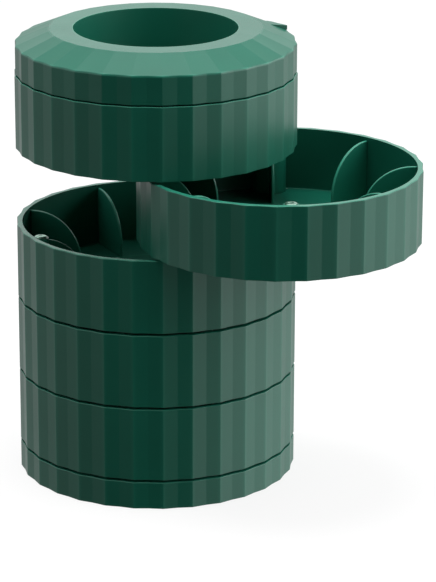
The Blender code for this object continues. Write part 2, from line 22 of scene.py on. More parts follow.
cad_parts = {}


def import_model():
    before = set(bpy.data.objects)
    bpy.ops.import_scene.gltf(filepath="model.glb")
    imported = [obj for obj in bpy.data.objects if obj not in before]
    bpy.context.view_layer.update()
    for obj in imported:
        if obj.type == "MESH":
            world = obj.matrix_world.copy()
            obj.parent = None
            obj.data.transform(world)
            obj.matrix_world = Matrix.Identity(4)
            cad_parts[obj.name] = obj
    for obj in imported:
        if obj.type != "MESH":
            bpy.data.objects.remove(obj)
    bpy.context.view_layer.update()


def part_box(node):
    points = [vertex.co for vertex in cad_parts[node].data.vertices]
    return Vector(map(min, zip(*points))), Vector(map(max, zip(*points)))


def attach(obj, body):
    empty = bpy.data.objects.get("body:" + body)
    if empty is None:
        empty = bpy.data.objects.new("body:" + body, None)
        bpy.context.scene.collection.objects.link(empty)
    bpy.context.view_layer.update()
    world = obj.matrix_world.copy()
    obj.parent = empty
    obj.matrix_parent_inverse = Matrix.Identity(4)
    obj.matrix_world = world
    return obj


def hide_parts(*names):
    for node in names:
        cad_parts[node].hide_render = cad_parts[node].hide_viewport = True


LOG = logging.getLogger("dispenser")

Point = tuple[float, float]
Place = tuple[float, float, float]
Colour = tuple[float, float, float]
Piece = bpy.types.Object
Socket = bpy.types.NodeSocket
Material = bpy.types.Material

TRAY_NUMBERS = range(1, 6)
ORIGIN: Place = (0.0, 0.0, 0.0)
STEEL: Colour = (0.56, 0.57, 0.58)
WHITE: Colour = (1.0, 1.0, 1.0)

WELD = 0.000002  # points nearer than this are one
OVERRUN = 0.002  # how far a cutting solid runs past what it cuts
ROUND_SIDES = 180  # facets round a wall
HUB_SIDES = 72  # facets round a hub or the rod
SMALL_SIDES = 48  # facets round a column, a button or a screw
EDGE_STRIPS = 3  # strips of a small rounding
RIM_STRIPS = 4  # strips of a rim's rounding
SMOOTH_ANGLE = math.radians(32)  # faces that meet at less are shaded as one
SHARP_ANGLE = math.radians(38)  # edges that are sharper get a rounding
FLAT_ANGLE = math.radians(0.2)  # faces that meet at less become one
LEVEL_NORMAL = 0.99  # how far a level face's normal climbs at least
SOCKET_SIDES = 6  # faces in the socket of a screw
FULL_TURN = 360  # degrees
LEAST_REACH = 0.0001  # keeps a direction straight up from dividing by nothing


class Pick(Enum):
    """What a selection in edit mode is made of."""

    POINTS = "VERT"
    EDGES = "EDGE"
    FACES = "FACE"


class Mix(Enum):
    """How one solid acts on another."""

    JOIN = "UNION"
    CUT = "DIFFERENCE"


class Along(Enum):
    """An axis, by its number in a point."""

    X = 0
    Z = 2


def clear_selection() -> None:
    """Leave nothing selected, so that an operator acts on its own piece only."""
    if bpy.context.object is not None and bpy.context.object.mode != "OBJECT":
        bpy.ops.object.mode_set(mode="OBJECT")
    bpy.ops.object.select_all(action="DESELECT")


def make_active(piece: Piece) -> None:
    """Select one piece alone and make it the active one.

    Args:
        piece: the object that the next operators act on.
    """
    clear_selection()
    piece.select_set(True)
    bpy.context.view_layer.objects.active = piece


@contextmanager
def editing(piece: Piece) -> Iterator[None]:
    """Hold a piece in edit mode with nothing selected.

    Args:
        piece: the object whose mesh is edited.

    Yields:
        Nothing, while the piece is in edit mode.
    """
    make_active(piece)
    bpy.ops.object.mode_set(mode="EDIT")
    bpy.ops.mesh.select_all(action="DESELECT")
    yield
    bpy.ops.object.mode_set(mode="OBJECT")


def pick(piece: Piece, kind: Pick, test: Callable[[Any], bool]) -> None:
    """Select the points, edges or faces that pass a test, in edit mode.

    Args:
        piece: the object that is in edit mode.
        kind: what to select.
        test: says whether one point, edge or face is taken.
    """
    bpy.ops.mesh.select_mode(type=kind.value)
    bpy.ops.mesh.select_all(action="DESELECT")
    shape = bmesh.from_edit_mesh(piece.data)
    source = {Pick.POINTS: shape.verts, Pick.EDGES: shape.edges, Pick.FACES: shape.faces}[kind]
    taken = [item for item in source if test(item)]
    for item in taken:
        item.select_set(True)
    shape.select_flush_mode()
    bmesh.update_edit_mesh(piece.data)


def take_all() -> None:
    """Select the whole mesh, in edit mode."""
    bpy.ops.mesh.select_all(action="SELECT")


def merge_doubles() -> None:
    """Make one point of those that fall together, in edit mode."""
    take_all()
    bpy.ops.mesh.remove_doubles(threshold=WELD)


def face_outwards() -> None:
    """Turn all faces of a closed mesh outwards, in edit mode."""
    take_all()
    bpy.ops.mesh.normals_make_consistent(inside=False)


def slice_off(point: Sequence[float], direction: Sequence[float], closed: bool = False) -> None:
    """Cut away all that lies beyond a plane, in edit mode.

    Args:
        point: a point of the plane.
        direction: the plane's normal, which points at what goes.
        closed: whether the cut gets a face.
    """
    take_all()
    bpy.ops.mesh.bisect(
        plane_co=tuple(point), plane_no=tuple(direction), use_fill=closed, clear_outer=True,
        threshold=WELD,
    )


def faces_at(height: float) -> Callable[[Any], bool]:
    """Make a test for level faces at a height.

    Args:
        height: the height.

    Returns:
        The test, which takes a face.
    """
    return lambda face: (
        abs(face.calc_center_median().z - height) < WELD and abs(face.normal.z) > LEVEL_NORMAL
    )


def edges_on(axis: Along, place: float) -> Callable[[Any], bool]:
    """Make a test for edges whose ends both lie at a place along an axis."""
    return lambda edge: all(abs(point.co[axis.value] - place) < WELD for point in edge.verts)


def sharp(edge: Any, limit: float = SHARP_ANGLE) -> bool:
    """Say whether the faces at an edge meet at more than an angle."""
    return edge.calc_face_angle(0.0) > limit


def upright(edge: Any) -> bool:
    """Say whether an edge climbs rather than runs level."""
    return abs(edge.verts[0].co.z - edge.verts[1].co.z) > WELD


def extrude(move: Sequence[float]) -> None:
    """Extrude what is selected and move the new part."""
    bpy.ops.mesh.extrude_region_move(TRANSFORM_OT_translate={"value": tuple(move)})


def resize(factor: float) -> None:
    """Scale what is selected in plan, about the stack's axis."""
    bpy.ops.transform.resize(value=(factor, factor, 1.0), center_override=ORIGIN)


def bevel(width: float, strips: int = EDGE_STRIPS) -> None:
    """Round the selected edges."""
    bpy.ops.mesh.bevel(offset=width, segments=strips, affect="EDGES", clamp_overlap=True)


def cylinder(name: str, radius: float, bottom: float, top: float, at: Point = (0.0, 0.0),
             sides: int = ROUND_SIDES) -> Piece:
    """Add an upright cylinder between two heights.

    Args:
        name: the object's name.
        radius: its radius.
        bottom: height of its lower end.
        top: height of its upper end.
        at: where its axis stands.
        sides: how many facets go round it.

    Returns:
        The new object, with its place in its mesh.
    """
    clear_selection()
    bpy.ops.mesh.primitive_cylinder_add(
        vertices=sides, radius=radius, depth=top - bottom, end_fill_type="NGON",
        location=(at[0], at[1], (top + bottom) / 2),
    )
    piece = bpy.context.object
    piece.name = name
    settle(piece)
    return piece


def settle(piece: Piece) -> None:
    """Move a piece's place, turn and scale into its mesh."""
    make_active(piece)
    bpy.ops.object.transform_apply(location=True, rotation=True, scale=True)


def round_ends(piece: Piece, height: float, width: float,
               strips: int = EDGE_STRIPS) -> None:
    """Round the outline edges of a solid at a height.

    Args:
        piece: the solid.
        height: the height whose level edges are rounded.
        width: the width of the rounding.
        strips: how many strips make it.
    """
    level = edges_on(Along.Z, height)
    with editing(piece):
        pick(piece, Pick.EDGES, lambda edge: level(edge) and sharp(edge))
        bevel(width, strips)


def turned(name: str, profile: Sequence[Point], sides: int, at: Point = (0.0, 0.0)) -> Piece:
    """Spin a profile of (radius, height) points round an upright axis.

    Args:
        name: the object's name.
        profile: the points, which start and end on the axis or go right round a ring's section.
        sides: how many steps the spin has.
        at: where the axis stands.

    Returns:
        The closed, turned object.
    """
    clear_selection()
    bpy.ops.mesh.primitive_plane_add(size=OVERRUN)
    piece = bpy.context.object
    piece.name = name
    ring = profile[0][0] > WELD
    path = list(profile) + ([profile[0]] if ring else [])
    with editing(piece):
        take_all()
        bpy.ops.mesh.merge(type="CENTER")
        bpy.ops.mesh.select_mode(type="VERT")
        take_all()
        bpy.ops.transform.translate(value=(path[0][0], 0.0, path[0][1]))
        for (radius, height), (next_radius, next_height) in zip(path, path[1:]):
            step = (next_radius - radius, 0.0, next_height - height)
            bpy.ops.mesh.extrude_vertices_move(TRANSFORM_OT_translate={"value": step})
        merge_doubles()
        bpy.ops.mesh.spin(steps=sides, angle=2 * math.pi, center=ORIGIN, axis=(0.0, 0.0, 1.0))
        merge_doubles()
        face_outwards()
    piece.location = (at[0], at[1], 0.0)
    settle(piece)
    return piece


def combine(piece: Piece, other: Piece, how: Mix) -> Piece:
    """Act on a solid with another one, which is used up.

    Args:
        piece: the solid that stays.
        other: the solid that is joined or cut out.
        how: which of the two it is.

    Returns:
        The solid that stays.
    """
    make_active(piece)
    modifier = piece.modifiers.new("combine", "BOOLEAN")
    modifier.operation = how.value
    modifier.solver = "EXACT"
    modifier.object = other
    bpy.ops.object.modifier_apply(modifier=modifier.name)
    bpy.data.objects.remove(other, do_unlink=True)
    return piece


def cut(piece: Piece, *others: Piece) -> Piece:
    """Cut solids out of a solid.

    Args:
        piece: the solid that stays.
        others: the solids that are cut out and used up.

    Returns:
        The solid that stays.
    """
    for other in others:
        combine(piece, other, Mix.CUT)
    return piece


def soften(piece: Piece, width: float) -> None:
    """Round every edge of a moulding that is still sharp.

    Args:
        piece: the moulding.
        width: the width of the rounding.
    """
    with editing(piece):
        merge_doubles()
        bpy.ops.mesh.dissolve_limited(angle_limit=FLAT_ANGLE)
    make_active(piece)
    modifier = piece.modifiers.new("soften", "BEVEL")
    modifier.width = width
    modifier.segments = EDGE_STRIPS
    modifier.limit_method = "ANGLE"
    modifier.angle_limit = SHARP_ANGLE
    modifier.use_clamp_overlap = True
    bpy.ops.object.modifier_apply(modifier=modifier.name)


def shade(piece: Piece) -> Piece:
    """Shade a finished piece smooth, with its broad faces left flat.

    Args:
        piece: the finished piece.

    Returns:
        The same piece.
    """
    make_active(piece)
    bpy.ops.object.shade_smooth_by_angle(angle=SMOOTH_ANGLE)
    modifier = piece.modifiers.new("broad_faces_flat", "WEIGHTED_NORMAL")
    modifier.keep_sharp = True
    bpy.ops.object.modifier_apply(modifier=modifier.name)
    return piece


def duplicate(piece: Piece, name: str, move: Matrix) -> Piece:
    """Copy a piece with a mesh of its own and set it in place.

    Args:
        piece: the piece that is copied.
        name: the copy's name.
        move: where the copy goes, from where the piece is.

    Returns:
        The copy, with its place in its mesh.
    """
    make_active(piece)
    bpy.ops.object.duplicate(linked=False)
    copy = bpy.context.object
    copy.name = name
    copy.matrix_world = move
    settle(copy)
    return copy


@dataclass(frozen=True)
class Stack:
    """Sizes and places that the pieces share.

    The fields with a value repeat driving sizes, and the others are read from the frame.
    """

    peak_radius: float
    rod: float
    rod_top: float
    column: float
    base_bottom: float
    base_top: float
    tray_bottoms: tuple[float, ...]
    tray_height: float
    lid_bottom: float
    lid_top: float
    lid_radius: float
    flute_count: int = 30
    flute_depth: float = 0.0009
    wall: float = 0.0034
    hub_radius: float = 0.0095
    rod_radius: float = 0.0035
    column_radius: float = 0.0044
    column_drop: float = 0.001
    stem_bore: float = 0.0018
    stem_length: float = 0.004
    well_sink: float = 0.0004
    fit: float = 0.0003

    @classmethod
    def read(cls) -> Stack:
        """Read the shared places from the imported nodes.

        Returns:
            The stack as it was packed.
        """
        shell_low, shell_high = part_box("base_shell")
        rod_low, rod_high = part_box("pivot_rod")
        button_low, button_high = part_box("base_button")
        lid_low, lid_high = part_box("lid")
        trays = [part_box(f"tray_{number}") for number in TRAY_NUMBERS]
        return cls(
            peak_radius=shell_high.y,
            rod=(rod_low.x + rod_high.x) / 2,
            rod_top=rod_high.z,
            column=-(button_low.x + button_high.x) / 2,
            base_bottom=shell_low.z,
            base_top=shell_high.z,
            tray_bottoms=tuple(low.z for low, _ in trays),
            tray_height=trays[0][1].z - trays[0][0].z,
            lid_bottom=lid_low.z + cls.well_sink,
            lid_top=lid_high.z,
            lid_radius=lid_high.y,
        )

    @property
    def rod_axis(self) -> Point:
        """Where the rod stands."""
        return (self.rod, 0.0)

    @property
    def button_axis(self) -> Point:
        """Where the closed trays' columns and buttons stand."""
        return (-self.column, 0.0)

    @property
    def inner_radius(self) -> float:
        """Radius of the round inside of a fluted wall."""
        return self.peak_radius - self.wall

    @property
    def bore(self) -> float:
        """Radius of a hole that turns on the rod."""
        return self.rod_radius + self.fit

    def prism(self, name: str, peak_radius: float, bottom: float, top: float,
              crease: float) -> Piece:
        """Model a fluted solid: a 60-sided cylinder with every second corner drawn in.

        Args:
            name: the object's name.
            peak_radius: radius at the flutes' ridges.
            bottom: height of its lower end.
            top: height of its upper end.
            crease: width of the rounding along the flutes, or 0 to leave them sharp.

        Returns:
            The fluted solid.
        """
        piece = cylinder(name, peak_radius, bottom, top, sides=2 * self.flute_count)
        with editing(piece):
            pick(piece, Pick.POINTS, self.in_valley)
            resize((peak_radius - self.flute_depth) / peak_radius)
            if crease:
                pick(piece, Pick.EDGES, upright)
                bevel(crease)
        return piece

    def in_valley(self, point: Any) -> bool:
        """Say whether a corner of the fluted outline lies in a valley."""
        step = math.atan2(point.co.y, point.co.x) * self.flute_count / math.pi
        return round(step) % 2 == 0


class Value:
    """A number on a node's output, with operators that add Math nodes."""

    def __init__(self, graph: Graph, socket: Socket) -> None:
        """Wrap one output socket of a graph."""
        self.graph = graph
        self.socket = socket

    def __add__(self, other: Value | float) -> Value:
        """Add two numbers."""
        return self.graph.maths("ADD", self, other)

    __radd__ = __add__

    def __sub__(self, other: Value | float) -> Value:
        """Take the other number away."""
        return self.graph.maths("SUBTRACT", self, other)

    def __rsub__(self, other: Value | float) -> Value:
        """Take this number away from the other."""
        return self.graph.maths("SUBTRACT", other, self)

    def __mul__(self, other: Value | float) -> Value:
        """Multiply two numbers."""
        return self.graph.maths("MULTIPLY", self, other)

    __rmul__ = __mul__

    def __truediv__(self, other: Value | float) -> Value:
        """Divide by the other number."""
        return self.graph.maths("DIVIDE", self, other)

    def __pow__(self, other: Value | float) -> Value:
        """Raise to the other number."""
        return self.graph.maths("POWER", self, other)

    def __abs__(self) -> Value:
        """Drop the sign."""
        return self.graph.maths("ABSOLUTE", self)

    def larger(self, other: Value | float) -> Value:
        """Take the larger of two numbers."""
        return self.graph.maths("MAXIMUM", self, other)

    def above(self, limit: float) -> Value:
        """Give 1 where the number is over a limit and 0 elsewhere."""
        return self.graph.maths("GREATER_THAN", self, limit)

    def ramp(self, start: float, end: float) -> Value:
        """Rise smoothly from 0 to 1 between two values.

        Args:
            start: where the result is 0.
            end: where it is 1, which may be the lower of the two.

        Returns:
            The result, from 0 to 1.
        """
        rising = (start, end, 0.0, 1.0)
        falling = (end, start, 1.0, 0.0)
        low, high, first, last = rising if start < end else falling
        node = self.graph.node(
            "ShaderNodeMapRange",
            {"interpolation_type": "SMOOTHSTEP"},
            {"Value": self, "From Min": low, "From Max": high, "To Min": first, "To Max": last},
        )
        return Value(self.graph, node.outputs["Result"])


class Graph:
    """Adds nodes to the node tree of one material or of the world."""

    def __init__(self, owner: Material | bpy.types.World) -> None:
        """Clear the owner's node tree and keep it.

        Args:
            owner: the material or world that gets the nodes.
        """
        owner.use_nodes = True
        self.tree = owner.node_tree
        self.tree.nodes.clear()

    def node(self, kind: str, settings: dict[str, Any] | None = None,
             sockets: dict[str | int, Any] | None = None) -> bpy.types.Node:
        """Add one node.

        Args:
            kind: the node's type.
            settings: its settings, and under "stops" a ramp's (position, colour) pairs.
            sockets: values or links for its inputs, by name or number.

        Returns:
            The node.
        """
        made = self.tree.nodes.new(kind)
        for name, setting in (settings or {}).items():
            if name == "stops":
                self.set_stops(made, setting)
            else:
                setattr(made, name, setting)
        for key, value in (sockets or {}).items():
            self.feed(made.inputs[key], value)
        return made

    def set_stops(self, ramp: bpy.types.Node, stops: Sequence[tuple[float, Colour]]) -> None:
        """Give a colour ramp its stops.

        Args:
            ramp: the ramp's node.
            stops: the position and colour of each stop, in rising order.
        """
        elements = ramp.color_ramp.elements
        while len(elements) < len(stops):
            elements.new(0.5)
        for element, (position, colour) in zip(elements, stops):
            element.position = position
            element.color = (*colour, 1.0)

    def feed(self, socket: Socket, value: Any) -> None:
        """Link a value into a socket, or set the socket to a plain one.

        Args:
            socket: the input socket.
            value: a wrapped or bare output socket, a colour, a vector or a number.
        """
        if isinstance(value, Value):
            value = value.socket
        if isinstance(value, Socket):
            self.tree.links.new(value, socket)
        elif isinstance(value, (tuple, list)) and len(value) == 3 and socket.type == "RGBA":
            socket.default_value = (*value, 1.0)
        else:
            socket.default_value = value

    def maths(self, operation: str, *numbers: Value | float) -> Value:
        """Add one Math node and return its result."""
        made = self.node("ShaderNodeMath", {"operation": operation}, dict(enumerate(numbers)))
        return Value(self, made.outputs[0])

    def mixed(self, share: Value | float, first: Any, second: Any) -> Socket:
        """Blend two colours and return the result."""
        sockets = {0: share, 6: first, 7: second}  # of a Mix node's inputs, these are for colours
        return self.node("ShaderNodeMix", {"data_type": "RGBA"}, sockets).outputs[2]

    def placed(self, centre: Sequence[float]) -> Socket:
        """Read Object coordinates from a piece's own centre.

        Args:
            centre: the point that becomes the origin.

        Returns:
            The centred coordinates.
        """
        coordinates = self.node("ShaderNodeTexCoord").outputs["Object"]
        back = tuple(-part for part in centre)
        return self.node(
            "ShaderNodeMapping",
            {"vector_type": "POINT"},
            {"Vector": coordinates, "Location": back},
        ).outputs[0]

    def split(self, vector: Socket) -> list[Value]:
        """Take a vector apart."""
        made = self.node("ShaderNodeSeparateXYZ", sockets={"Vector": vector})
        return [Value(self, output) for output in made.outputs]

    def noise(self, vector: Socket, scale: float, detail: float) -> Value:
        """Add soft noise between 0 and 1, about 0.5 in the middle."""
        sockets = {"Vector": vector, "Scale": scale, "Detail": detail}
        return Value(self, self.node("ShaderNodeTexNoise", sockets=sockets).outputs[0])

    def bump(self, height: Value, depth: float) -> Socket:
        """Turn a relief from 0 to 1, of a depth in metres, into a normal."""
        sockets = {"Height": height, "Distance": depth}
        return self.node("ShaderNodeBump", sockets=sockets).outputs[0]

    def blend(self, share: Value, first: bpy.types.Node, second: bpy.types.Node) -> Socket:
        """Blend two shaders and return the result."""
        sockets = {0: share, 1: first.outputs[0], 2: second.outputs[0]}
        return self.node("ShaderNodeMixShader", sockets=sockets).outputs[0]

    def surface(self, **sockets: Any) -> None:
        """Close a material with one Principled surface.

        Args:
            sockets: values or links for its inputs, named with underscores in place of spaces.
        """
        named = {key.replace("_", " "): value for key, value in sockets.items()}
        shader = self.node("ShaderNodeBsdfPrincipled", sockets=named)
        self.node("ShaderNodeOutputMaterial", sockets={"Surface": shader.outputs[0]})


def scaled(colour: Colour, factor: float) -> Colour:
    """Brighten or darken a colour."""
    return tuple(factor * part for part in colour)


def length(first: Value, second: Value) -> Value:
    """Find how long a step is that goes some way along each of two square axes."""
    return (first**2.0 + second**2.0) ** 0.5


def new_material(name: str, centre: Place) -> tuple[Material, Graph, Socket]:
    """Start a material.

    Args:
        name: its name.
        centre: the point that its pattern is centred on.

    Returns:
        The material, its nodes and the pattern's coordinates.
    """
    made = bpy.data.materials.new(name)
    graph = Graph(made)
    return made, graph, graph.placed(centre)


@dataclass(frozen=True)
class FinLine:
    """The outline of the fins, the same for all of them when turned about the tray's axis."""

    top: float
    radius: float
    centre_radius: float
    floor: float


@dataclass(frozen=True)
class FlutedPlastic:
    """Satin green moulded plastic with faint clouds, fine grain and a painted highlight on its
    edges.

    The painted highlight is a paler colour on the flutes' ridges, the rims, the rings and the fins'
    upper edges. On the thin fins the colour is painted brighter, as painted light, from fin_foot
    over the floor to fin_margin over their top.
    """

    name: str
    centre: Place
    ridge_radius: float
    rims: tuple[float, ...] = ()
    rings: tuple[Point, ...] = ()
    polished: tuple[float, ...] = ()
    fin_line: FinLine | None = None
    colour: Colour = (0.0066, 0.104, 0.067)
    colour_spread: float = 0.07
    # painted highlight: the paler colour laid on the ridges, rims, rings and fin edges
    painted_highlight_colour: Colour = (0.030, 0.230, 0.155)
    painted_highlight_share: float = 0.95
    highlight_width: float = 0.0009
    ridge_highlight_share: float = 0.18
    ridge_depth: float = 0.00035
    ridge_fade: float = 0.0004
    rim_highlight_share: float = 0.5
    rim_width: float = 0.0005
    # painted light: the fins' colour is made this much brighter
    fin_painted_light_gain: float = 1.5
    fin_root: float = 0.0022
    fin_foot: Point = (0.0003, 0.001)
    fin_margin: float = 0.0004
    roughness: float = 0.33
    polish: float = 0.12
    cloud_scale: float = 16.0
    cloud_range: Point = (0.3, 0.7)
    smudge_scale: float = 70.0
    smudge_depth: float = 0.10
    grain_scale: float = 3200.0
    grain_depth: float = 0.05
    peel_scale: float = 170.0
    relief: float = 0.000012
    relief_grain: float = 0.15
    ior: float = 1.5

    def edges(self, radius: Value, height: Value) -> Value:
        """Find how much painted highlight lies near a ridge, a rim, a ring or a fin's upper edge.

        Args:
            radius: distance from the piece's own axis.
            height: height over the piece's own centre.

        Returns:
            The painted highlight's share, from 0 to 1.
        """
        ridges = (radius - (self.ridge_radius - self.ridge_depth)).ramp(0.0, self.ridge_fade)
        mask = ridges * self.ridge_highlight_share
        for rim in self.rims:
            mask = mask.larger(self.near_rim(height, rim) * self.rim_highlight_share)
        for ring_radius, ring_height in self.rings:
            away = length(radius - ring_radius, height - ring_height)
            mask = mask.larger(away.ramp(self.highlight_width, 0.0))
        if self.fin_line is not None:
            mask = mask.larger(self.near_fins(radius, height))
        return mask

    def near_rim(self, height: Value, rim: float) -> Value:
        """Find how near the surface is to the height of a rim, from 0 to 1."""
        return abs(height - rim).ramp(self.rim_width, 0.0)

    def near_fins(self, radius: Value, height: Value) -> Value:
        """Find how near the surface is to the curved upper edge of a fin.

        Args:
            radius: distance from the tray's axis.
            height: height over the tray's lower edge.

        Returns:
            The nearness, from 0 to 1.
        """
        line = self.fin_line
        centre_height = line.top - line.radius
        inward = (line.centre_radius - radius).larger(0.0)
        upward = (height - centre_height).larger(0.0)
        away = abs(length(inward, upward) - line.radius)
        return away.ramp(self.highlight_width, 0.0) * self.within_wall(radius)

    def within_wall(self, radius: Value) -> Value:
        """Give 1 inside the tray's wall and 0 on the wall and outside it."""
        return (self.fin_line.centre_radius + self.fin_root - radius).above(0.0)

    def on_fins(self, radius: Value, height: Value) -> Value:
        """Find the thin fins, whose colour is painted brighter as painted light.

        Args:
            radius: distance from the tray's axis.
            height: height over the tray's lower edge.

        Returns:
            1 on the fins and 0 elsewhere, with a soft change at their foot.
        """
        line = self.fin_line
        above_floor = (height - line.floor).ramp(*self.fin_foot)
        below_top = (line.top + self.fin_margin - height).above(0.0)
        return above_floor * self.within_wall(radius) * below_top

    def material(self) -> Material:
        """Make the material.

        Returns:
            The material, with its pattern centred on the piece.
        """
        made, graph, place = new_material(self.name, self.centre)
        across, along, height = graph.split(place)
        radius = length(across, along)
        clouds = graph.noise(place, self.cloud_scale, detail=3.0)
        smudges = graph.noise(place, self.smudge_scale, detail=4.0)
        grain = graph.noise(place, self.grain_scale, detail=2.0)
        peel = graph.noise(place, self.peel_scale, detail=1.0)
        low = scaled(self.colour, 1.0 - self.colour_spread)
        high = scaled(self.colour, 1.0 + self.colour_spread)
        plain = graph.mixed(clouds.ramp(*self.cloud_range), low, high)
        # painted light: the fins get a brighter copy of the plastic's colour
        if self.fin_line is not None:
            painted_lit_fin_colour = scaled(self.colour, self.fin_painted_light_gain)
            plain = graph.mixed(self.on_fins(radius, height), plain, painted_lit_fin_colour)
        # painted highlight on the edges, mixed into the base colour below
        edge = self.edges(radius, height)
        roughness = self.roughness + (smudges - 0.5) * self.smudge_depth
        roughness = roughness + (grain - 0.5) * self.grain_depth
        for flat in self.polished:
            roughness = roughness - self.near_rim(height, flat) * self.polish
        graph.surface(
            Base_Color=graph.mixed(edge * self.painted_highlight_share, plain, self.painted_highlight_colour),
            Roughness=roughness,
            IOR=self.ior,
            Normal=graph.bump(grain * self.relief_grain + peel, self.relief),
        )
        return made


@dataclass(frozen=True)
class CoverPlastic:
    """Matt, grained dark green plastic of the plate under the base."""

    name: str = "cover_green"
    colour: Colour = (0.0075, 0.075, 0.050)
    dark_share: float = 0.85
    roughness: float = 0.55
    texture_scale: float = 1500.0
    texture_depth: float = 0.2
    cloud_scale: float = 20.0
    cloud_range: Point = (0.3, 0.7)
    relief: float = 0.00004
    ior: float = 1.48

    def material(self) -> Material:
        """Make the material.

        Returns:
            The material.
        """
        made, graph, place = new_material(self.name, ORIGIN)
        texture = graph.noise(place, self.texture_scale, detail=3.0)
        clouds = graph.noise(place, self.cloud_scale, detail=3.0)
        dark = scaled(self.colour, self.dark_share)
        graph.surface(
            Base_Color=graph.mixed(clouds.ramp(*self.cloud_range), dark, self.colour),
            Roughness=self.roughness + (texture - 0.5) * self.texture_depth,
            IOR=self.ior,
            Normal=graph.bump(texture, self.relief),
        )
        return made


@dataclass(frozen=True)
class TurnedMetal:
    """Metal with fine turning marks round an upright axis."""

    name: str
    axis: Point
    colour: Colour
    roughness: float
    mark_scale: float = 5200.0
    mark_depth: float = 0.16
    tarnish_scale: float = 260.0
    tarnish_range: Point = (0.35, 0.75)
    tarnish_depth: float = 0.1
    dull_share: float = 0.86
    relief: float = 0.000006

    def material(self) -> Material:
        """Make the material.

        Returns:
            The material, with its marks round the axis.
        """
        made, graph, place = new_material(self.name, (*self.axis, 0.0))
        across, along, height = graph.split(place)
        radius = length(across, along)
        ringed = graph.node("ShaderNodeCombineXYZ", sockets={0: radius, 2: height}).outputs[0]
        marks = graph.noise(ringed, self.mark_scale, detail=2.0)
        tarnish = graph.noise(place, self.tarnish_scale, detail=4.0)
        dull = scaled(self.colour, self.dull_share)
        worn = (marks - 0.5) * self.mark_depth + (tarnish - 0.5) * self.tarnish_depth
        graph.surface(
            Base_Color=graph.mixed(tarnish.ramp(*self.tarnish_range), self.colour, dull),
            Metallic=1.0,
            Roughness=self.roughness + worn,
            Normal=graph.bump(marks, self.relief),
        )
        return made


@dataclass(frozen=True)
class Nylon:
    """Milky washer nylon, slightly polished by the trays that turn on it."""

    name: str
    axis: Point
    colour: Colour = (0.74, 0.73, 0.68)
    worn_share: float = 0.88
    roughness: float = 0.38
    mottle_scale: float = 420.0
    mottle_range: Point = (0.35, 0.7)
    mottle_depth: float = 0.2
    relief: float = 0.00001
    ior: float = 1.53

    def material(self) -> Material:
        """Make the material.

        Returns:
            The material, with its pattern centred on the axis.
        """
        made, graph, place = new_material(self.name, (*self.axis, 0.0))
        mottle = graph.noise(place, self.mottle_scale, detail=3.0)
        worn = scaled(self.colour, self.worn_share)
        graph.surface(
            Base_Color=graph.mixed(mottle.ramp(*self.mottle_range), self.colour, worn),
            Roughness=self.roughness + (mottle - 0.5) * self.mottle_depth,
            IOR=self.ior,
            Normal=graph.bump(mottle, self.relief),
        )
        return made


@dataclass(frozen=True)
class Rubber:
    """Dull black rubber with a fine pebbled face."""

    name: str = "pad_rubber"
    colour: Colour = (0.016, 0.016, 0.017)
    roughness: float = 0.78
    pebble_scale: float = 1100.0
    dust_scale: float = 60.0
    dust_range: Point = (0.5, 0.8)
    dust_share: float = 0.6
    dust_lift: float = 0.03
    dust_depth: float = 0.16
    relief: float = 0.00008
    ior: float = 1.5

    def material(self) -> Material:
        """Make the material.

        Returns:
            The material.
        """
        made, graph, place = new_material(self.name, ORIGIN)
        cells = graph.node(
            "ShaderNodeTexVoronoi", sockets={"Vector": place, "Scale": self.pebble_scale}
        )
        pebbles = Value(graph, cells.outputs["Distance"])
        dust = graph.noise(place, self.dust_scale, detail=4.0)
        dusty = tuple(self.dust_lift + part for part in self.colour)
        dust_mask = dust.ramp(*self.dust_range) * self.dust_share
        graph.surface(
            Base_Color=graph.mixed(dust_mask, self.colour, dusty),
            Roughness=self.roughness + (dust - 0.5) * self.dust_depth,
            IOR=self.ior,
            Normal=graph.bump(pebbles, self.relief),
        )
        return made


def dress(piece: Piece, finish: Material) -> None:
    """Give a piece one material and no other."""
    piece.data.materials.clear()
    piece.data.materials.append(finish)


def hand_over(piece: Piece, node: str, body: str, finish: Material) -> None:
    """Dress a finished piece and put it in its CAD node's place.

    Args:
        piece: the finished piece.
        node: the CAD node that it stands for.
        body: the body that it moves with.
        finish: its material.
    """
    dress(piece, finish)
    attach(piece, body)
    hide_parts(node)
    LOG.info("%s: %d faces, on %s", piece.name, len(piece.data.polygons), body)


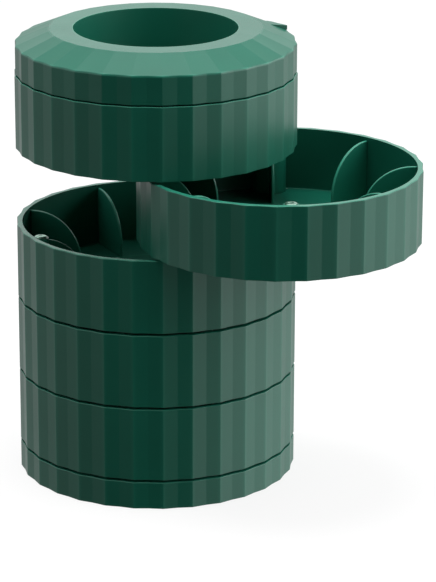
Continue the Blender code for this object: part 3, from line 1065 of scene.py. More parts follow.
@dataclass(frozen=True)
class Tray:
    """A fluted round tray with eight quarter-round fins, a hub and a column for a button."""

    stack: Stack
    rim_round: float = 0.0005
    edge_round: float = 0.00025
    crease: float = 0.0003
    floor_round: float = 0.0009
    floor_recess: float = 0.00365
    floor_thickness: float = 0.002
    fin_count: int = 8
    fin_sides: int = 128
    fin_thickness: float = 0.0016
    fin_top_drop: float = 0.002
    fin_ledge: float = 0.0027
    fin_curve_radius: float = 0.0276
    fin_round: float = 0.0005
    hub_cover: float = 0.001
    column_cover: float = 0.0013
    stem_depth: float = 0.0043
    open_number: int = 4
    open_swing: float = math.radians(66)

    @property
    def floor(self) -> float:
        """Height of the inside floor over the tray's lower edge."""
        return self.floor_recess + self.floor_thickness

    @property
    def fin_top(self) -> float:
        """Height of the fins over the tray's lower edge."""
        return self.stack.tray_height - self.fin_top_drop

    @property
    def fin_line(self) -> FinLine:
        """The outline that all fins share."""
        centre_radius = self.stack.inner_radius - self.fin_ledge
        return FinLine(self.fin_top, self.fin_curve_radius, centre_radius, self.floor)

    def swing(self, number: int) -> float:
        """How far a tray is swung out in the photograph's pose."""
        return self.open_swing if number == self.open_number else 0.0

    def place(self, number: int) -> Matrix:
        """Find where a tray goes, from the pattern tray that stands on the origin.

        Args:
            number: the tray, counted from below.

        Returns:
            The move of the pattern to the tray's place.
        """
        rod = Vector((self.stack.rod, 0.0, 0.0))
        turn = Matrix.Rotation(self.swing(number), 4, "Z")
        lift = Matrix.Translation((0.0, 0.0, self.stack.tray_bottoms[number - 1]))
        return lift @ Matrix.Translation(rod) @ turn @ Matrix.Translation(-rod)

    def shell(self) -> Piece:
        """Model the wall, floor, hub and column.

        Returns:
            The tray without its fins, standing on the origin.
        """
        stack = self.stack
        rim = stack.tray_height
        rod, button = stack.rod_axis, stack.button_axis
        piece = stack.prism("tray_pattern", stack.peak_radius, 0.0, rim, self.crease)
        round_ends(piece, rim, self.rim_round, RIM_STRIPS)
        round_ends(piece, 0.0, self.edge_round)
        bowl = cylinder("tray_bowl", stack.inner_radius, self.floor, rim + OVERRUN)
        round_ends(bowl, self.floor, self.floor_round, RIM_STRIPS)
        recess = cylinder("tray_recess", stack.inner_radius, -OVERRUN, self.floor_recess)
        column_top = rim - stack.column_drop
        low, high = -2 * OVERRUN, rim + 2 * OVERRUN
        for cutter in (bowl, recess):
            hub = cylinder("tray_hub", stack.hub_radius, low, high, rod, HUB_SIDES)
            column = cylinder("tray_column", stack.column_radius, low, column_top, button,
                              SMALL_SIDES)
            cut(cutter, hub, column)
        bore = cylinder("tray_bore", stack.bore, -OVERRUN, rim + OVERRUN, rod, HUB_SIDES)
        stem = cylinder("tray_stem_bore", stack.stem_bore, column_top - self.stem_depth,
                        column_top + OVERRUN, button, SMALL_SIDES)
        cut(piece, bowl, recess, bore, stem)
        soften(piece, self.edge_round)
        return piece

    def fin(self, number: int) -> Piece:
        """Model one fin as a quarter disc with a ledge and a foot.

        Args:
            number: which fin it is, counted from the hub.

        Returns:
            The fin, running into the wall, the floor and, at the hub and the column, into these.
        """
        stack = self.stack
        radius = self.fin_curve_radius
        centre_x = self.fin_line.centre_radius
        centre_z = self.fin_top - radius
        outer = stack.inner_radius + stack.wall / 3
        foot = self.floor - self.floor_thickness / 2
        clear_selection()
        bpy.ops.mesh.primitive_circle_add(
            vertices=self.fin_sides, radius=radius, fill_type="NGON",
            location=(centre_x, -self.fin_thickness / 2, centre_z),
            rotation=(math.pi / 2, 0.0, 0.0),
        )
        piece = bpy.context.object
        piece.name = f"tray_fin_{number}"
        settle(piece)
        limit = {
            0: stack.rod - stack.bore - self.hub_cover,
            self.fin_count // 2: stack.column - stack.stem_bore - self.column_cover,
        }
        with editing(piece):
            slice_off((centre_x, 0, 0), (1, 0, 0))
            slice_off((0, 0, centre_z), (0, 0, -1))
            pick(piece, Pick.EDGES, edges_on(Along.X, centre_x))
            extrude((outer - centre_x, 0.0, 0.0))
            pick(piece, Pick.EDGES, edges_on(Along.Z, centre_z))
            extrude((0.0, 0.0, foot - centre_z))
            if number in limit:
                outer = limit[number]
                slice_off((outer, 0, 0), (1, 0, 0))
            take_all()
            bpy.ops.mesh.dissolve_limited(angle_limit=FLAT_ANGLE)
            take_all()
            extrude((0.0, self.fin_thickness, 0.0))
            face_outwards()
            pick(piece, Pick.EDGES, lambda edge: self.on_outline(edge, outer, foot))
            bevel(self.fin_round)
        piece.rotation_euler = (0.0, 0.0, 2 * math.pi * number / self.fin_count)
        settle(piece)
        return piece

    def on_outline(self, edge: Any, outer: float, foot: float) -> bool:
        """Say whether an edge of a fin runs along its free outline.

        Args:
            edge: the edge.
            outer: where the fin ends, in the wall, the hub or the column.
            foot: where it ends, in the floor.

        Returns:
            Whether the edge is on the outline and not buried.
        """
        first, second = (point.co for point in edge.verts)
        level = abs(first.y - second.y) < WELD
        buried = max(first.z, second.z) < foot + WELD or min(first.x, second.x) > outer - WELD
        return level and not buried and sharp(edge)

    def pattern(self) -> Piece:
        """Model the tray that the five trays are copied from.

        Returns:
            The finished tray, standing on the origin.
        """
        piece = self.shell()
        fins = [self.fin(number) for number in range(self.fin_count)]
        clear_selection()
        for fin in fins:
            fin.select_set(True)
        bpy.context.view_layer.objects.active = fins[0]
        bpy.ops.object.join()
        return shade(combine(piece, fins[0], Mix.JOIN))

    def finish(self, number: int) -> Material:
        """Make one tray's plastic, with its pattern centred on the tray.

        Args:
            number: the tray, counted from below.

        Returns:
            The tray's material.
        """
        rim = self.stack.tray_height
        # the ridges, rim and fin edges get a painted highlight, and the fins painted light
        return FlutedPlastic(
            name=f"tray_{number}_green",
            centre=tuple(self.place(number).translation),
            ridge_radius=self.stack.peak_radius,
            rims=(rim,),
            polished=(rim,),
            fin_line=self.fin_line,
        ).material()

    def build(self) -> None:
        """Model the five trays and put each on its body."""
        pattern = self.pattern()
        for number in TRAY_NUMBERS:
            tray = duplicate(pattern, f"fluted_tray_{number}", self.place(number))
            body = f"tray_{number}"
            hand_over(tray, f"tray_{number}", body, self.finish(number))
        bpy.data.objects.remove(pattern, do_unlink=True)


@dataclass(frozen=True)
class Button:
    """A small satin metal button with a slight dish, on a stem in the top of a column."""

    stack: Stack
    tray: Tray
    radius: float = 0.0034
    edge: float = 0.0003
    edge_soft: float = 0.00025
    dome: float = 0.0005
    dome_steps: int = 14
    dish_radius: float = 0.0016
    dish_depth: float = 0.0002
    dish_shares: tuple[float, ...] = (0.35, 0.6, 0.8, 0.93)
    stem_radius: float = 0.0015
    stem_soft: float = 0.0003
    # grey satin metal, with a mint tint that is a painted reflection of the green plastic round it
    colour: Colour = (0.34, 0.55, 0.45)
    roughness: float = 0.24

    def profile(self) -> list[Point]:
        """List the button's outline from its top centre.

        Returns:
            The points as (radius, height), over the column's top.
        """
        seat = self.stack.fit
        foot = -self.stack.stem_length
        side = seat + self.edge
        crown = side + self.dome
        points = [(0.0, crown - self.dish_depth)]
        for share in self.dish_shares:
            points.append((self.dish_radius * share, crown - self.dish_depth * (1 - share**3)))
        run = self.radius - self.dish_radius
        for step in range(self.dome_steps + 1):
            angle = math.pi / 2 * step / self.dome_steps
            points.append(
                (self.dish_radius + run * math.sin(angle), side + self.dome * math.cos(angle))
            )
        return points + [
            (self.radius, seat + self.edge_soft),
            (self.radius - self.edge_soft, seat),
            (self.stem_radius, seat),
            (self.stem_radius, foot + self.stem_soft),
            (self.stem_radius - self.stem_soft, foot),
            (0.0, foot),
        ]

    def put(self, pattern: Piece, name: str, body: str, seat: float, place: Matrix) -> None:
        """Copy the button to a column and put it on its body.

        Args:
            pattern: the button that is copied.
            name: the CAD node that the copy stands for.
            body: the body that it moves with.
            seat: height of the column's top over the place.
            place: the move from the pattern to the column.
        """
        lift = Matrix.Translation((0.0, 0.0, seat))
        button = duplicate(pattern, f"satin_{name}", place @ lift)
        at = place @ Vector((*self.stack.button_axis, 0.0))
        finish = TurnedMetal(f"{name}_nickel", (at.x, at.y), self.colour, self.roughness)
        hand_over(button, name, body, finish.material())

    def build(self) -> None:
        """Model the six buttons and put each on its body."""
        stack = self.stack
        pattern = turned("button_pattern", self.profile(), SMALL_SIDES, stack.button_axis)
        shade(pattern)
        base_seat = stack.base_top - stack.column_drop
        self.put(pattern, "base_button", "base", base_seat, Matrix.Identity(4))
        seat = stack.tray_height - stack.column_drop
        for number in TRAY_NUMBERS:
            place = self.tray.place(number)
            self.put(pattern, f"glide_button_{number}", f"tray_{number}", seat, place)
        bpy.data.objects.remove(pattern, do_unlink=True)


@dataclass(frozen=True)
class Lid:
    """The fluted lid: wall, faceted slope, flat ring, round well, hub, column and boss."""

    stack: Stack
    crease: float = 0.0003
    crease_angle: float = math.radians(3)
    edge_round: float = 0.0003
    well_round: float = 0.0005
    wall_height: float = 0.0153
    edge_height: float = 0.001
    edge_inset: float = 0.0004
    slope_rise: float = 0.0079
    ring_radius: float = 0.0593
    shell: float = 0.0022
    boss_height: float = 0.0192
    boss_roof: float = 0.0026
    boss_depth: float = 0.0025
    boss_setback: float = 0.00035
    boss_inner_radius: float = 0.068
    boss_half_turn: float = math.radians(8.6)
    boss_fall_outward: float = 0.13
    boss_fall_across: float = 0.12
    well_radius: float = 0.046
    well_floor: float = 0.0011
    recess_radius: float = 0.0057
    recess_depth: float = 0.0003
    # share of the painted highlight at the well's edge and the slope's foot
    painted_highlight_share: float = 0.5
    polish: float = 0.08

    @property
    def wall_top(self) -> float:
        """Height where the fluted wall ends."""
        return self.stack.lid_bottom + self.wall_height

    @property
    def slope_bottom(self) -> float:
        """Height where the slope begins."""
        return self.wall_top + self.edge_height

    @property
    def edge_radius(self) -> float:
        """Radius of the ridges at the foot of the slope."""
        return self.stack.lid_radius - self.edge_inset

    @property
    def ring_valley(self) -> float:
        """Radius of the flat ring halfway between two ridges."""
        return self.ring_radius * math.cos(math.pi / self.stack.flute_count)

    @property
    def boss_top(self) -> float:
        """Height of the boss over the rod."""
        return self.stack.lid_bottom + self.boss_height

    def above_foot(self, edge: Any) -> bool:
        """Say whether an edge reaches above the lid's lower end."""
        return any(point.co.z > self.stack.lid_bottom + WELD for point in edge.verts)

    def blank(self) -> Piece:
        """Model the lid's outside with softened flutes and edges.

        Returns:
            The outside as a solid.
        """
        stack = self.stack
        bottom, top = stack.lid_bottom, stack.lid_top
        peak = stack.lid_radius
        valley = (peak - stack.flute_depth) * self.ring_radius / peak
        piece = stack.prism("fluted_lid", peak, bottom, self.wall_top, 0.0)
        with editing(piece):
            pick(piece, Pick.FACES, faces_at(self.wall_top))
            extrude((0.0, 0.0, self.edge_height))
            resize(self.edge_radius / peak)
            extrude((0.0, 0.0, top - self.slope_bottom))
            resize(self.ring_radius / self.edge_radius)
            pick(piece, Pick.POINTS,
                 lambda point: abs(point.co.z - top) < WELD and stack.in_valley(point))
            resize(self.ring_valley / valley)
            pick(piece, Pick.EDGES,
                 lambda edge: self.above_foot(edge) and sharp(edge, self.crease_angle))
            bevel(self.crease)
        round_ends(piece, bottom, self.edge_round)
        return piece

    def hollow(self) -> Piece:
        """Model what is taken out from below.

        Returns:
            A ring under the slope, with room left for the hub and the column.
        """
        stack = self.stack
        well_outer = self.well_radius + self.shell
        inner = stack.lid_radius - stack.wall
        run = self.edge_radius - stack.flute_depth - self.ring_valley
        slope = math.atan2(self.slope_rise, run)
        roof = stack.lid_top - self.shell
        corner = self.ring_valley - self.shell * math.tan(slope / 2)
        eaves = roof - (inner - corner) * math.tan(slope)
        below = stack.lid_bottom - OVERRUN
        low = below - OVERRUN
        profile = [
            (well_outer, roof),
            (corner, roof),
            (inner, eaves),
            (inner, below),
            (well_outer, below),
        ]
        piece = turned("lid_hollow", profile, ROUND_SIDES)
        hub = cylinder("lid_hub", stack.hub_radius, low, self.boss_top, stack.rod_axis, HUB_SIDES)
        column = cylinder("lid_column", stack.column_radius, low, roof, stack.button_axis,
                          SMALL_SIDES)
        return cut(piece, hub, column)

    def boss(self) -> Piece:
        """Model the block over the rod's end, three facets wide, with a flat top.

        Returns:
            The block, whose top falls outwards and to one side.
        """
        stack = self.stack
        half = self.boss_half_turn
        radius = stack.lid_radius - self.boss_setback
        foot = self.boss_top - self.boss_depth
        piece = stack.prism("lid_boss", radius, foot, self.boss_top + OVERRUN, 0.0)
        up = Vector((0.0, 0.0, 1.0))
        outward = Vector((math.cos(half), -math.sin(half), 0.0))
        across = Vector((math.sin(half), math.cos(half), 0.0))
        far_side = Vector((-math.sin(half), math.cos(half), 0.0))
        tilt = up + self.boss_fall_outward * outward + self.boss_fall_across * across
        side = radius - stack.flute_depth * (half * stack.flute_count / math.pi - 1)
        corner = side * outward + self.boss_top * up
        inner = (self.boss_inner_radius * math.cos(half), 0.0, 0.0)
        with editing(piece):
            slice_off(inner, (-1, 0, 0), closed=True)
            slice_off(ORIGIN, -across, closed=True)
            slice_off(ORIGIN, far_side, closed=True)
            slice_off(corner, tilt, closed=True)
            face_outwards()
        soften(piece, self.edge_round)
        return piece

    def finish(self) -> Material:
        """Make the lid's plastic, with a painted highlight at the ridges, well edge and slope foot.

        Returns:
            The lid's material.
        """
        stack = self.stack
        return FlutedPlastic(
            name="lid_green",
            centre=ORIGIN,
            ridge_radius=stack.peak_radius,
            rings=((self.well_radius, stack.lid_top), (self.edge_radius, self.slope_bottom)),
            polished=(stack.lid_top,),
            painted_highlight_share=self.painted_highlight_share,
            polish=self.polish,
        ).material()

    def build(self) -> None:
        """Model the lid and put it on its body."""
        stack = self.stack
        piece = cut(self.blank(), self.hollow())
        pan_bottom = stack.lid_bottom - stack.well_sink
        floor = pan_bottom + self.well_floor
        pan = cylinder("well_pan", self.well_radius + self.shell / 2, pan_bottom,
                       floor + self.well_floor)
        combine(piece, pan, Mix.JOIN)
        well = cylinder("lid_well", self.well_radius, floor, stack.lid_top + OVERRUN)
        round_ends(well, floor, 2 * self.well_round, RIM_STRIPS)
        below = stack.lid_bottom - OVERRUN
        bore = cylinder("lid_bore", stack.bore, below, self.boss_top - self.boss_roof,
                        stack.rod_axis, HUB_SIDES)
        recess = cylinder("clip_recess", self.recess_radius, below,
                          stack.lid_bottom + self.recess_depth, stack.rod_axis, HUB_SIDES)
        cut(piece, well, bore, recess)
        soften(piece, self.edge_round)
        combine(piece, self.boss(), Mix.JOIN)
        hand_over(shade(piece), "lid", "lid", self.finish())


@dataclass(frozen=True)
class Base:
    """The base that stands still: fluted skirt with a deck, cover plate, rubber pad and screws."""

    stack: Stack
    crease: float = 0.0003
    rim_round: float = 0.0005
    edge_round: float = 0.00025
    deck: float = 0.0022
    boss_lift: float = 0.0007
    seat_height: float = 0.006
    seat_web: float = 0.0022
    rod_screw_radius: float = 0.0015
    rod_screw_head: float = 0.0032
    dip_radius: float = 0.0037
    cover_bottom: float = 0.0015
    cover_thickness: float = 0.002
    cover_boss: float = 0.0038
    cover_screw_count: int = 3
    cover_screw_inset: float = 0.0095
    cover_screw_radius: float = 0.0014
    cover_screw_head: float = 0.0029
    cover_screw_head_height: float = 0.001
    cover_screw_grip: float = 0.0055
    socket_radius: float = 0.0012
    screw_roughness: float = 0.34
    pad_thickness: float = 0.0012
    pad_clearance: float = 0.0034
    pad_round: float = 0.0003
    groove: float = 0.0004
    groove_shares: tuple[float, ...] = (0.9, 0.78, 0.66)

    @property
    def cover_top(self) -> float:
        """Height of the cover's upper face."""
        return self.cover_bottom + self.cover_thickness

    @property
    def screw_ring(self) -> float:
        """Radius of the circle that the cover's screws stand on."""
        return self.stack.inner_radius - self.cover_screw_inset

    def screw_places(self) -> list[Point]:
        """List where the cover's screws stand.

        Returns:
            The place of each screw's axis.
        """
        places = []
        for number in range(self.cover_screw_count):
            angle = 2 * math.pi * (number + 0.5) / self.cover_screw_count
            places.append((self.screw_ring * math.cos(angle), self.screw_ring * math.sin(angle)))
        return places

    def shell(self) -> Piece:
        """Model the skirt, the deck and the bosses under it.

        Returns:
            The shell, shaded.
        """
        stack = self.stack
        bottom, top = stack.base_bottom, stack.base_top
        rod, button = stack.rod_axis, stack.button_axis
        piece = stack.prism("fluted_base", stack.peak_radius, bottom, top, self.crease)
        round_ends(piece, top, self.rim_round, RIM_STRIPS)
        round_ends(piece, bottom, self.edge_round)
        hollow = cylinder("base_hollow", stack.inner_radius, bottom - OVERRUN, top - self.deck)
        seat = top - stack.column_drop
        foot = seat - stack.stem_length - self.deck
        bosses = [
            cylinder("rod_boss", stack.hub_radius, bottom + self.boss_lift, top, rod, HUB_SIDES),
            cylinder("button_boss", stack.column_radius, foot, top, button, SMALL_SIDES),
        ]
        low = self.cover_top + stack.fit
        for place in self.screw_places():
            bosses.append(cylinder("cover_boss", self.cover_boss, low, top, place, SMALL_SIDES))
        cut(hollow, *bosses)
        web_bottom = self.seat_height - self.seat_web
        head_hole = self.rod_screw_head + stack.fit
        stem_foot = seat - stack.stem_length - stack.fit
        holes = [
            hollow,
            cylinder("rod_seat", stack.bore, self.seat_height, top + OVERRUN, rod, HUB_SIDES),
            cylinder("rod_screw_hole", self.rod_screw_radius + stack.fit, web_bottom - OVERRUN,
                     self.seat_height + OVERRUN, rod, SMALL_SIDES),
            cylinder("rod_screw_well", head_hole, bottom - OVERRUN, web_bottom, rod, HUB_SIDES),
            cylinder("button_dip", self.dip_radius, seat, top + OVERRUN, button, HUB_SIDES),
            cylinder("button_bore", stack.stem_bore, stem_foot, seat + OVERRUN, button,
                     SMALL_SIDES),
        ]
        hole_top = self.cover_top + 2 * stack.fit + self.cover_screw_grip
        for place in self.screw_places():
            holes.append(
                cylinder("cover_screw_hole", self.cover_screw_radius + stack.fit,
                         self.cover_top - OVERRUN, hole_top, place, SMALL_SIDES)
            )
        cut(piece, *holes)
        soften(piece, self.edge_round)
        return shade(piece)

    def cover(self) -> Piece:
        """Model the plate that closes the base from below.

        Returns:
            The plate, shaded.
        """
        stack = self.stack
        bottom, top = self.cover_bottom, self.cover_top
        low, high = bottom - OVERRUN, top + OVERRUN
        piece = cylinder("base_cover_plate", stack.inner_radius - stack.fit, bottom, top)
        hub = stack.hub_radius + stack.fit
        cut(piece, cylinder("cover_notch", hub, low, high, stack.rod_axis, HUB_SIDES))
        hole = self.cover_screw_radius + stack.fit
        for place in self.screw_places():
            cut(piece, cylinder("cover_hole", hole, low, high, place, SMALL_SIDES))
        soften(piece, self.edge_round)
        return shade(piece)

    def pad(self) -> Piece:
        """Model the rubber pad, with ring grooves in the face that it stands on.

        Returns:
            The pad, shaded.
        """
        radius = self.screw_ring - self.cover_screw_head - self.pad_clearance
        top, soft, groove = self.pad_thickness, self.pad_round, self.groove
        profile = [
            (0.0, top),
            (radius - soft, top),
            (radius, top - soft),
            (radius, soft),
            (radius - soft, 0.0),
        ]
        for share in self.groove_shares:
            middle = radius * share
            profile += [
                (middle + 2 * groove, 0.0),
                (middle + groove, groove),
                (middle - groove, groove),
                (middle - 2 * groove, 0.0),
            ]
        profile.append((0.0, 0.0))
        return shade(turned("anti_slip_ring_pad", profile, ROUND_SIDES))

    def build(self) -> None:
        """Model the base's pieces and put them on its body."""
        stack = self.stack
        # the flutes' ridges and the rim get a painted highlight
        green = FlutedPlastic(
            name="base_green",
            centre=ORIGIN,
            ridge_radius=stack.peak_radius,
            rims=(stack.base_top,),
            polished=(stack.base_top,),
        )
        dark = CoverPlastic()
        hand_over(self.shell(), "base_shell", "base", green.material())
        hand_over(self.cover(), "base_cover", "base", dark.material())
        hand_over(self.pad(), "anti_slip_pad", "base", Rubber().material())
        screw = Screw(
            radius=self.cover_screw_radius,
            head_radius=self.cover_screw_head,
            head_height=self.cover_screw_head_height,
            head_top=self.cover_bottom - stack.fit,
            grip=2 * stack.fit + self.cover_thickness + self.cover_screw_grip,
            socket_radius=self.socket_radius,
        )
        for number, place in enumerate(self.screw_places(), start=1):
            piece = screw.model(f"cover_cap_screw_{number}", place)
            node = f"cover_screw_{number}"
            finish = TurnedMetal(f"{node}_steel", place, STEEL, self.screw_roughness)
            hand_over(piece, node, "base", finish.material())


@dataclass(frozen=True)
class Screw:
    """A screw that points up, with a rounded head and a hex socket in it.

    The head's rounding is head_run wide and passes through head_corner, both measured in softs.
    """

    radius: float
    head_radius: float
    head_height: float
    head_top: float
    grip: float
    socket_radius: float
    socket_share: float = 0.6
    soft: float = 0.0003
    head_run: float = 1.5
    head_corner: Point = (0.4, 0.6)

    def model(self, name: str, at: Point) -> Piece:
        """Model the screw at its place.

        Args:
            name: the object's name.
            at: where its axis stands.

        Returns:
            The screw, shaded.
        """
        low = self.head_top - self.head_height
        tip = self.head_top + self.grip
        head, soft = self.head_radius, self.soft
        inward, upward = self.head_corner
        profile = [
            (0.0, tip),
            (self.radius - soft, tip),
            (self.radius, tip - soft),
            (self.radius, self.head_top),
            (head - soft / 2, self.head_top),
            (head, self.head_top - soft / 2),
            (head, low + self.head_run * soft),
            (head - inward * soft, low + upward * soft),
            (head - self.head_run * soft, low),
            (0.0, low),
        ]
        socket_top = low + self.head_height * self.socket_share
        piece = turned(name, profile, SMALL_SIDES, at)
        socket = cylinder(f"{name}_socket", self.socket_radius, low - OVERRUN, socket_top, at,
                          SOCKET_SIDES)
        return shade(cut(piece, socket))


@dataclass(frozen=True)
class Spindle:
    """The rod that all trays swing on, with its screw, washers and retaining clip."""

    stack: Stack
    base: Base
    end_chamfer: float = 0.0006
    groove_depth: float = 0.0007
    screw_grip: float = 0.008
    screw_head_height: float = 0.0022
    washer_radius: float = 0.0055
    washer_thickness: float = 0.0009
    clip_radius: float = 0.0054
    clip_thickness: float = 0.0005
    clip_mouth: float = 0.0036
    tier_gap: float = 0.0015
    rod_roughness: float = 0.22
    screw_roughness: float = 0.32
    clip_roughness: float = 0.3

    @property
    def clip_bottom(self) -> float:
        """Height of the underside of the retaining clip."""
        return self.stack.tray_bottoms[-1] + self.stack.tray_height + self.stack.fit

    def rod(self) -> Piece:
        """Model the rod with its groove, chamfers and tapped hole.

        Returns:
            The rod, shaded.
        """
        stack = self.stack
        radius, top = stack.rod_radius, stack.rod_top
        groove = radius - self.groove_depth
        foot = self.base.seat_height + stack.fit
        hole = self.base.rod_screw_radius + stack.fit
        hole_top = foot + self.screw_grip + stack.fit
        groove_top = self.clip_bottom + self.clip_thickness + stack.fit
        groove_bottom = self.clip_bottom - stack.fit
        end = self.end_chamfer
        profile = [
            (0.0, top),
            (radius - end, top),
            (radius - end / 4, top - end / 3),
            (radius, top - end),
            (radius, groove_top),
            (groove, groove_top),
            (groove, groove_bottom),
            (radius, groove_bottom),
            (radius, foot + end / 2),
            (radius - end / 2, foot),
            (hole, foot),
            (hole, hole_top),
            (0.0, hole_top),
        ]
        return shade(turned("steel_rod", profile, HUB_SIDES, stack.rod_axis))

    def ring(self, name: str, inner: float, outer: float, bottom: float,
             thickness: float) -> Piece:
        """Model a ring with rounded edges on the rod's axis.

        Args:
            name: the object's name.
            inner: radius of its hole.
            outer: radius of its outside.
            bottom: height of its underside.
            thickness: how thick it is.

        Returns:
            The ring.
        """
        soft = thickness / 4
        top = bottom + thickness
        profile = [
            (inner + soft, top),
            (outer - soft, top),
            (outer - soft / 4, top - soft / 3),
            (outer, top - soft),
            (outer, bottom + soft),
            (outer - soft / 4, bottom + soft / 3),
            (outer - soft, bottom),
            (inner + soft, bottom),
            (inner, bottom + soft),
            (inner, top - soft),
        ]
        return turned(name, profile, HUB_SIDES, self.stack.rod_axis)

    def clip(self) -> Piece:
        """Model the retaining clip with its mouth open sideways.

        Returns:
            The clip, shaded.
        """
        stack = self.stack
        bottom, thickness = self.clip_bottom, self.clip_thickness
        inner = stack.rod_radius - self.groove_depth + stack.fit
        piece = self.ring("spring_clip", inner, self.clip_radius, bottom, thickness)
        clear_selection()
        bpy.ops.mesh.primitive_cube_add(size=1.0, location=(stack.rod, self.clip_radius, bottom))
        mouth = bpy.context.object
        mouth.scale = (self.clip_mouth, 2 * self.clip_radius, 4 * thickness)
        settle(mouth)
        return shade(cut(piece, mouth))

    def build(self) -> None:
        """Model the spindle's pieces and put them on the base's body."""
        stack, base = self.stack, self.base
        axis = stack.rod_axis
        steel = TurnedMetal("rod_steel", axis, STEEL, self.rod_roughness)
        hand_over(self.rod(), "pivot_rod", "base", steel.material())
        screw = Screw(
            radius=base.rod_screw_radius,
            head_radius=base.rod_screw_head,
            head_height=self.screw_head_height,
            head_top=base.seat_height - base.seat_web - stack.fit,
            grip=base.seat_web + 2 * stack.fit + self.screw_grip,
            socket_radius=base.socket_radius,
        )
        steel = TurnedMetal("rod_screw_steel", axis, STEEL, self.screw_roughness)
        piece = screw.model("rod_cap_screw", axis)
        hand_over(piece, "rod_screw", "base", steel.material())
        for number, bottom in enumerate(stack.tray_bottoms, start=1):
            low = bottom - self.tier_gap + stack.fit
            piece = self.ring(f"nylon_washer_{number}", stack.bore, self.washer_radius, low,
                              self.washer_thickness)
            node = f"spacer_washer_{number}"
            finish = Nylon(f"washer_{number}_nylon", axis)
            hand_over(shade(piece), node, "base", finish.material())
        steel = TurnedMetal("clip_steel", axis, STEEL, self.clip_roughness)
        hand_over(self.clip(), "retaining_clip", "base", steel.material())


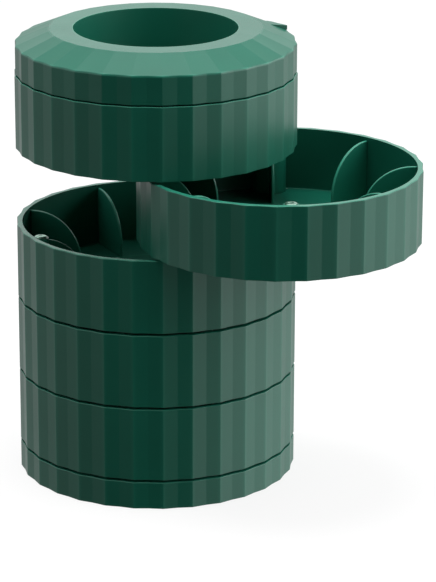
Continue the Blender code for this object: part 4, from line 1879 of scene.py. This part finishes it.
@dataclass(frozen=True)
class Studio:
    """The camera at the photograph's angle, the pale floor and the soft light.

    Each pair is where a soft change starts and ends. The pairs of the right, the left, the front
    and the backdrop go by how far a direction points that way, and the others by how far it climbs.
    """

    camera_place: Place = (-0.7359, -1.4818, 0.6574)
    azimuth: float = math.radians(-27.624)
    tilt: float = math.radians(71.439)
    roll: float = 0.00326
    lens: float = 188.97
    sensor: float = 36.0
    around_stops: tuple[Point, ...] = (
        (-180, 0.6), (-150, 0.62), (-120, 0.46), (-90, 0.38), (-50, 0.22), (-40, 0.04),
        (0, 0.0), (22, 0.03), (32, 0.35), (50, 0.8), (62, 1.15), (78, 1.38),
        (100, 1.5), (110, 1.25), (130, 0.9), (150, 0.6), (180, 0.6),
    )
    horizon: Point = (-0.1, 0.1)
    wall_dim: float = 0.4
    high_dim: float = 0.35
    high_walls: Point = (0.45, 0.65)
    overhead: float = 2.05
    overhead_front: float = 1.0
    front: Point = (-0.3, 0.6)
    ceiling: Point = (0.7, 0.9)
    backdrop_glow: float = 0.76
    backdrop: Point = (-0.6, -0.9)
    backdrop_foot: Point = (0.0, 0.2)
    backdrop_top: Point = (0.36, 0.48)
    right_fill: float = 2.4
    right: Point = (0.6, 1.0)
    left_fill: float = 0.8
    left: Point = (-0.35, -0.9)
    lamp_power: float = 14.0
    lamp_place: Place = (-0.01, -0.02, 1.35)
    lamp_target: Place = (0.0, 0.0, 0.13)
    lamp_size: float = 0.6
    floor_size: float = 12.0
    floor_paint: Colour = (0.9, 0.9, 0.9)
    floor_glow: float = 0.85

    def camera(self) -> None:
        """Stand the camera where the photograph was taken from."""
        data = bpy.data.cameras.new("camera")
        data.lens = self.lens
        data.sensor_width = self.sensor
        camera = bpy.data.objects.new("camera", data)
        bpy.context.scene.collection.objects.link(camera)
        camera.matrix_world = (
            Matrix.Translation(self.camera_place)
            @ Matrix.Rotation(self.azimuth, 4, "Z")
            @ Matrix.Rotation(self.tilt, 4, "X")
            @ Matrix.Rotation(self.roll, 4, "Z")
        )
        bpy.context.scene.camera = camera

    def surround(self) -> None:
        """Light from a pale room, brightest overhead and on the right, and dark by the camera."""
        world = bpy.data.worlds.new("studio")
        bpy.context.scene.world = world
        graph = Graph(world)
        across, along, up = graph.split(graph.node("ShaderNodeTexCoord").outputs["Generated"])
        level = length(across, along).larger(LEAST_REACH)
        sine, cosine = math.sin(self.azimuth), math.cos(self.azimuth)
        front = (across * sine - along * cosine) / level
        side = (across * cosine + along * sine) / level
        behind = front.ramp(*self.backdrop) * up.ramp(*self.backdrop_foot)
        over_horizon = up.ramp(*self.horizon)
        fill = side.ramp(*self.right) * self.right_fill + side.ramp(*self.left) * self.left_fill
        walls = self.around(graph, front, side) * (1.0 - self.wall_dim * over_horizon)
        walls = (walls + fill * over_horizon).larger(behind * self.backdrop_glow)
        walls = walls * (1.0 - self.high_dim * up.ramp(*self.high_walls))
        over = self.overhead + front.ramp(*self.front) * (self.overhead_front - self.overhead)
        strength = walls + (over - walls) * up.ramp(*self.ceiling)
        rays = graph.node("ShaderNodeLightPath").outputs
        seen = Value(graph, rays["Is Camera Ray"]).larger(Value(graph, rays["Is Transmission Ray"]))
        mirrored = Value(graph, rays["Is Glossy Ray"]) * behind
        seen = seen.larger(mirrored * (1.0 - up.ramp(*self.backdrop_top)))
        glow = graph.node("ShaderNodeBackground", sockets={"Color": WHITE, "Strength": strength})
        white = graph.node("ShaderNodeBackground", sockets={"Color": WHITE, "Strength": 1.0})
        both = graph.blend(seen, glow, white)
        graph.node("ShaderNodeOutputWorld", sockets={"Surface": both})

    def around(self, graph: Graph, front: Value, side: Value) -> Value:
        """Give the walls their brightness by the way they lie from the stack.

        Args:
            graph: the world's nodes.
            front: how far a direction points to the camera.
            side: how far it points to the right.

        Returns:
            The brightness.
        """
        turn = graph.maths("ARCTAN2", side, front) / (2 * math.pi) + 0.5
        brightest = max(value for _, value in self.around_stops)
        stops = [
            (at / FULL_TURN + 0.5, scaled(WHITE, value / brightest))
            for at, value in self.around_stops
        ]
        ramp = graph.node("ShaderNodeValToRGB", {"stops": stops}, {"Fac": turn})
        return Value(graph, ramp.outputs["Color"]) * brightest

    def lamp(self) -> None:
        """Hang one large soft lamp over the stack."""
        data = bpy.data.lights.new("overhead_lamp", "AREA")
        data.shape = "DISK"
        data.size = self.lamp_size
        data.energy = self.lamp_power
        lamp = bpy.data.objects.new("overhead_lamp", data)
        lamp.location = self.lamp_place
        toward = Vector(self.lamp_target) - lamp.location
        lamp.rotation_euler = toward.to_track_quat("-Z", "Y").to_euler()
        lamp.visible_glossy = False
        bpy.context.scene.collection.objects.link(lamp)

    def floor(self) -> None:
        """Lay a pale floor that glows to the camera and still takes the stack's soft shadow."""
        clear_selection()
        bpy.ops.mesh.primitive_plane_add(size=self.floor_size, location=ORIGIN)
        plane = bpy.context.object
        plane.name = "studio_floor"
        made = bpy.data.materials.new("floor_white")
        graph = Graph(made)
        paint = graph.node("ShaderNodeBsdfDiffuse", sockets={"Color": self.floor_paint})
        glow = graph.node("ShaderNodeEmission", sockets={"Color": WHITE, "Strength": 1.0})
        seen = Value(graph, graph.node("ShaderNodeLightPath").outputs["Is Camera Ray"])
        both = graph.blend(seen * self.floor_glow, paint, glow)
        graph.node("ShaderNodeOutputMaterial", sockets={"Surface": both})
        dress(plane, made)
        plane.visible_glossy = False
        plane.visible_diffuse = False

    def build(self) -> None:
        """Set up camera, surround, lamp and floor."""
        self.camera()
        self.surround()
        self.lamp()
        self.floor()
        bpy.context.scene.view_settings.view_transform = "Standard"


def main() -> None:
    """Build the dispenser's pieces in order and the studio round them."""
    logging.basicConfig(level=logging.INFO, format="%(name)s: %(message)s")
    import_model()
    stack = Stack.read()
    tray = Tray(stack)
    base = Base(stack)
    base.build()
    Spindle(stack, base).build()
    tray.build()
    Button(stack, tray).build()
    Lid(stack).build()
    Studio().build()


if __name__ == "__main__":
    main()
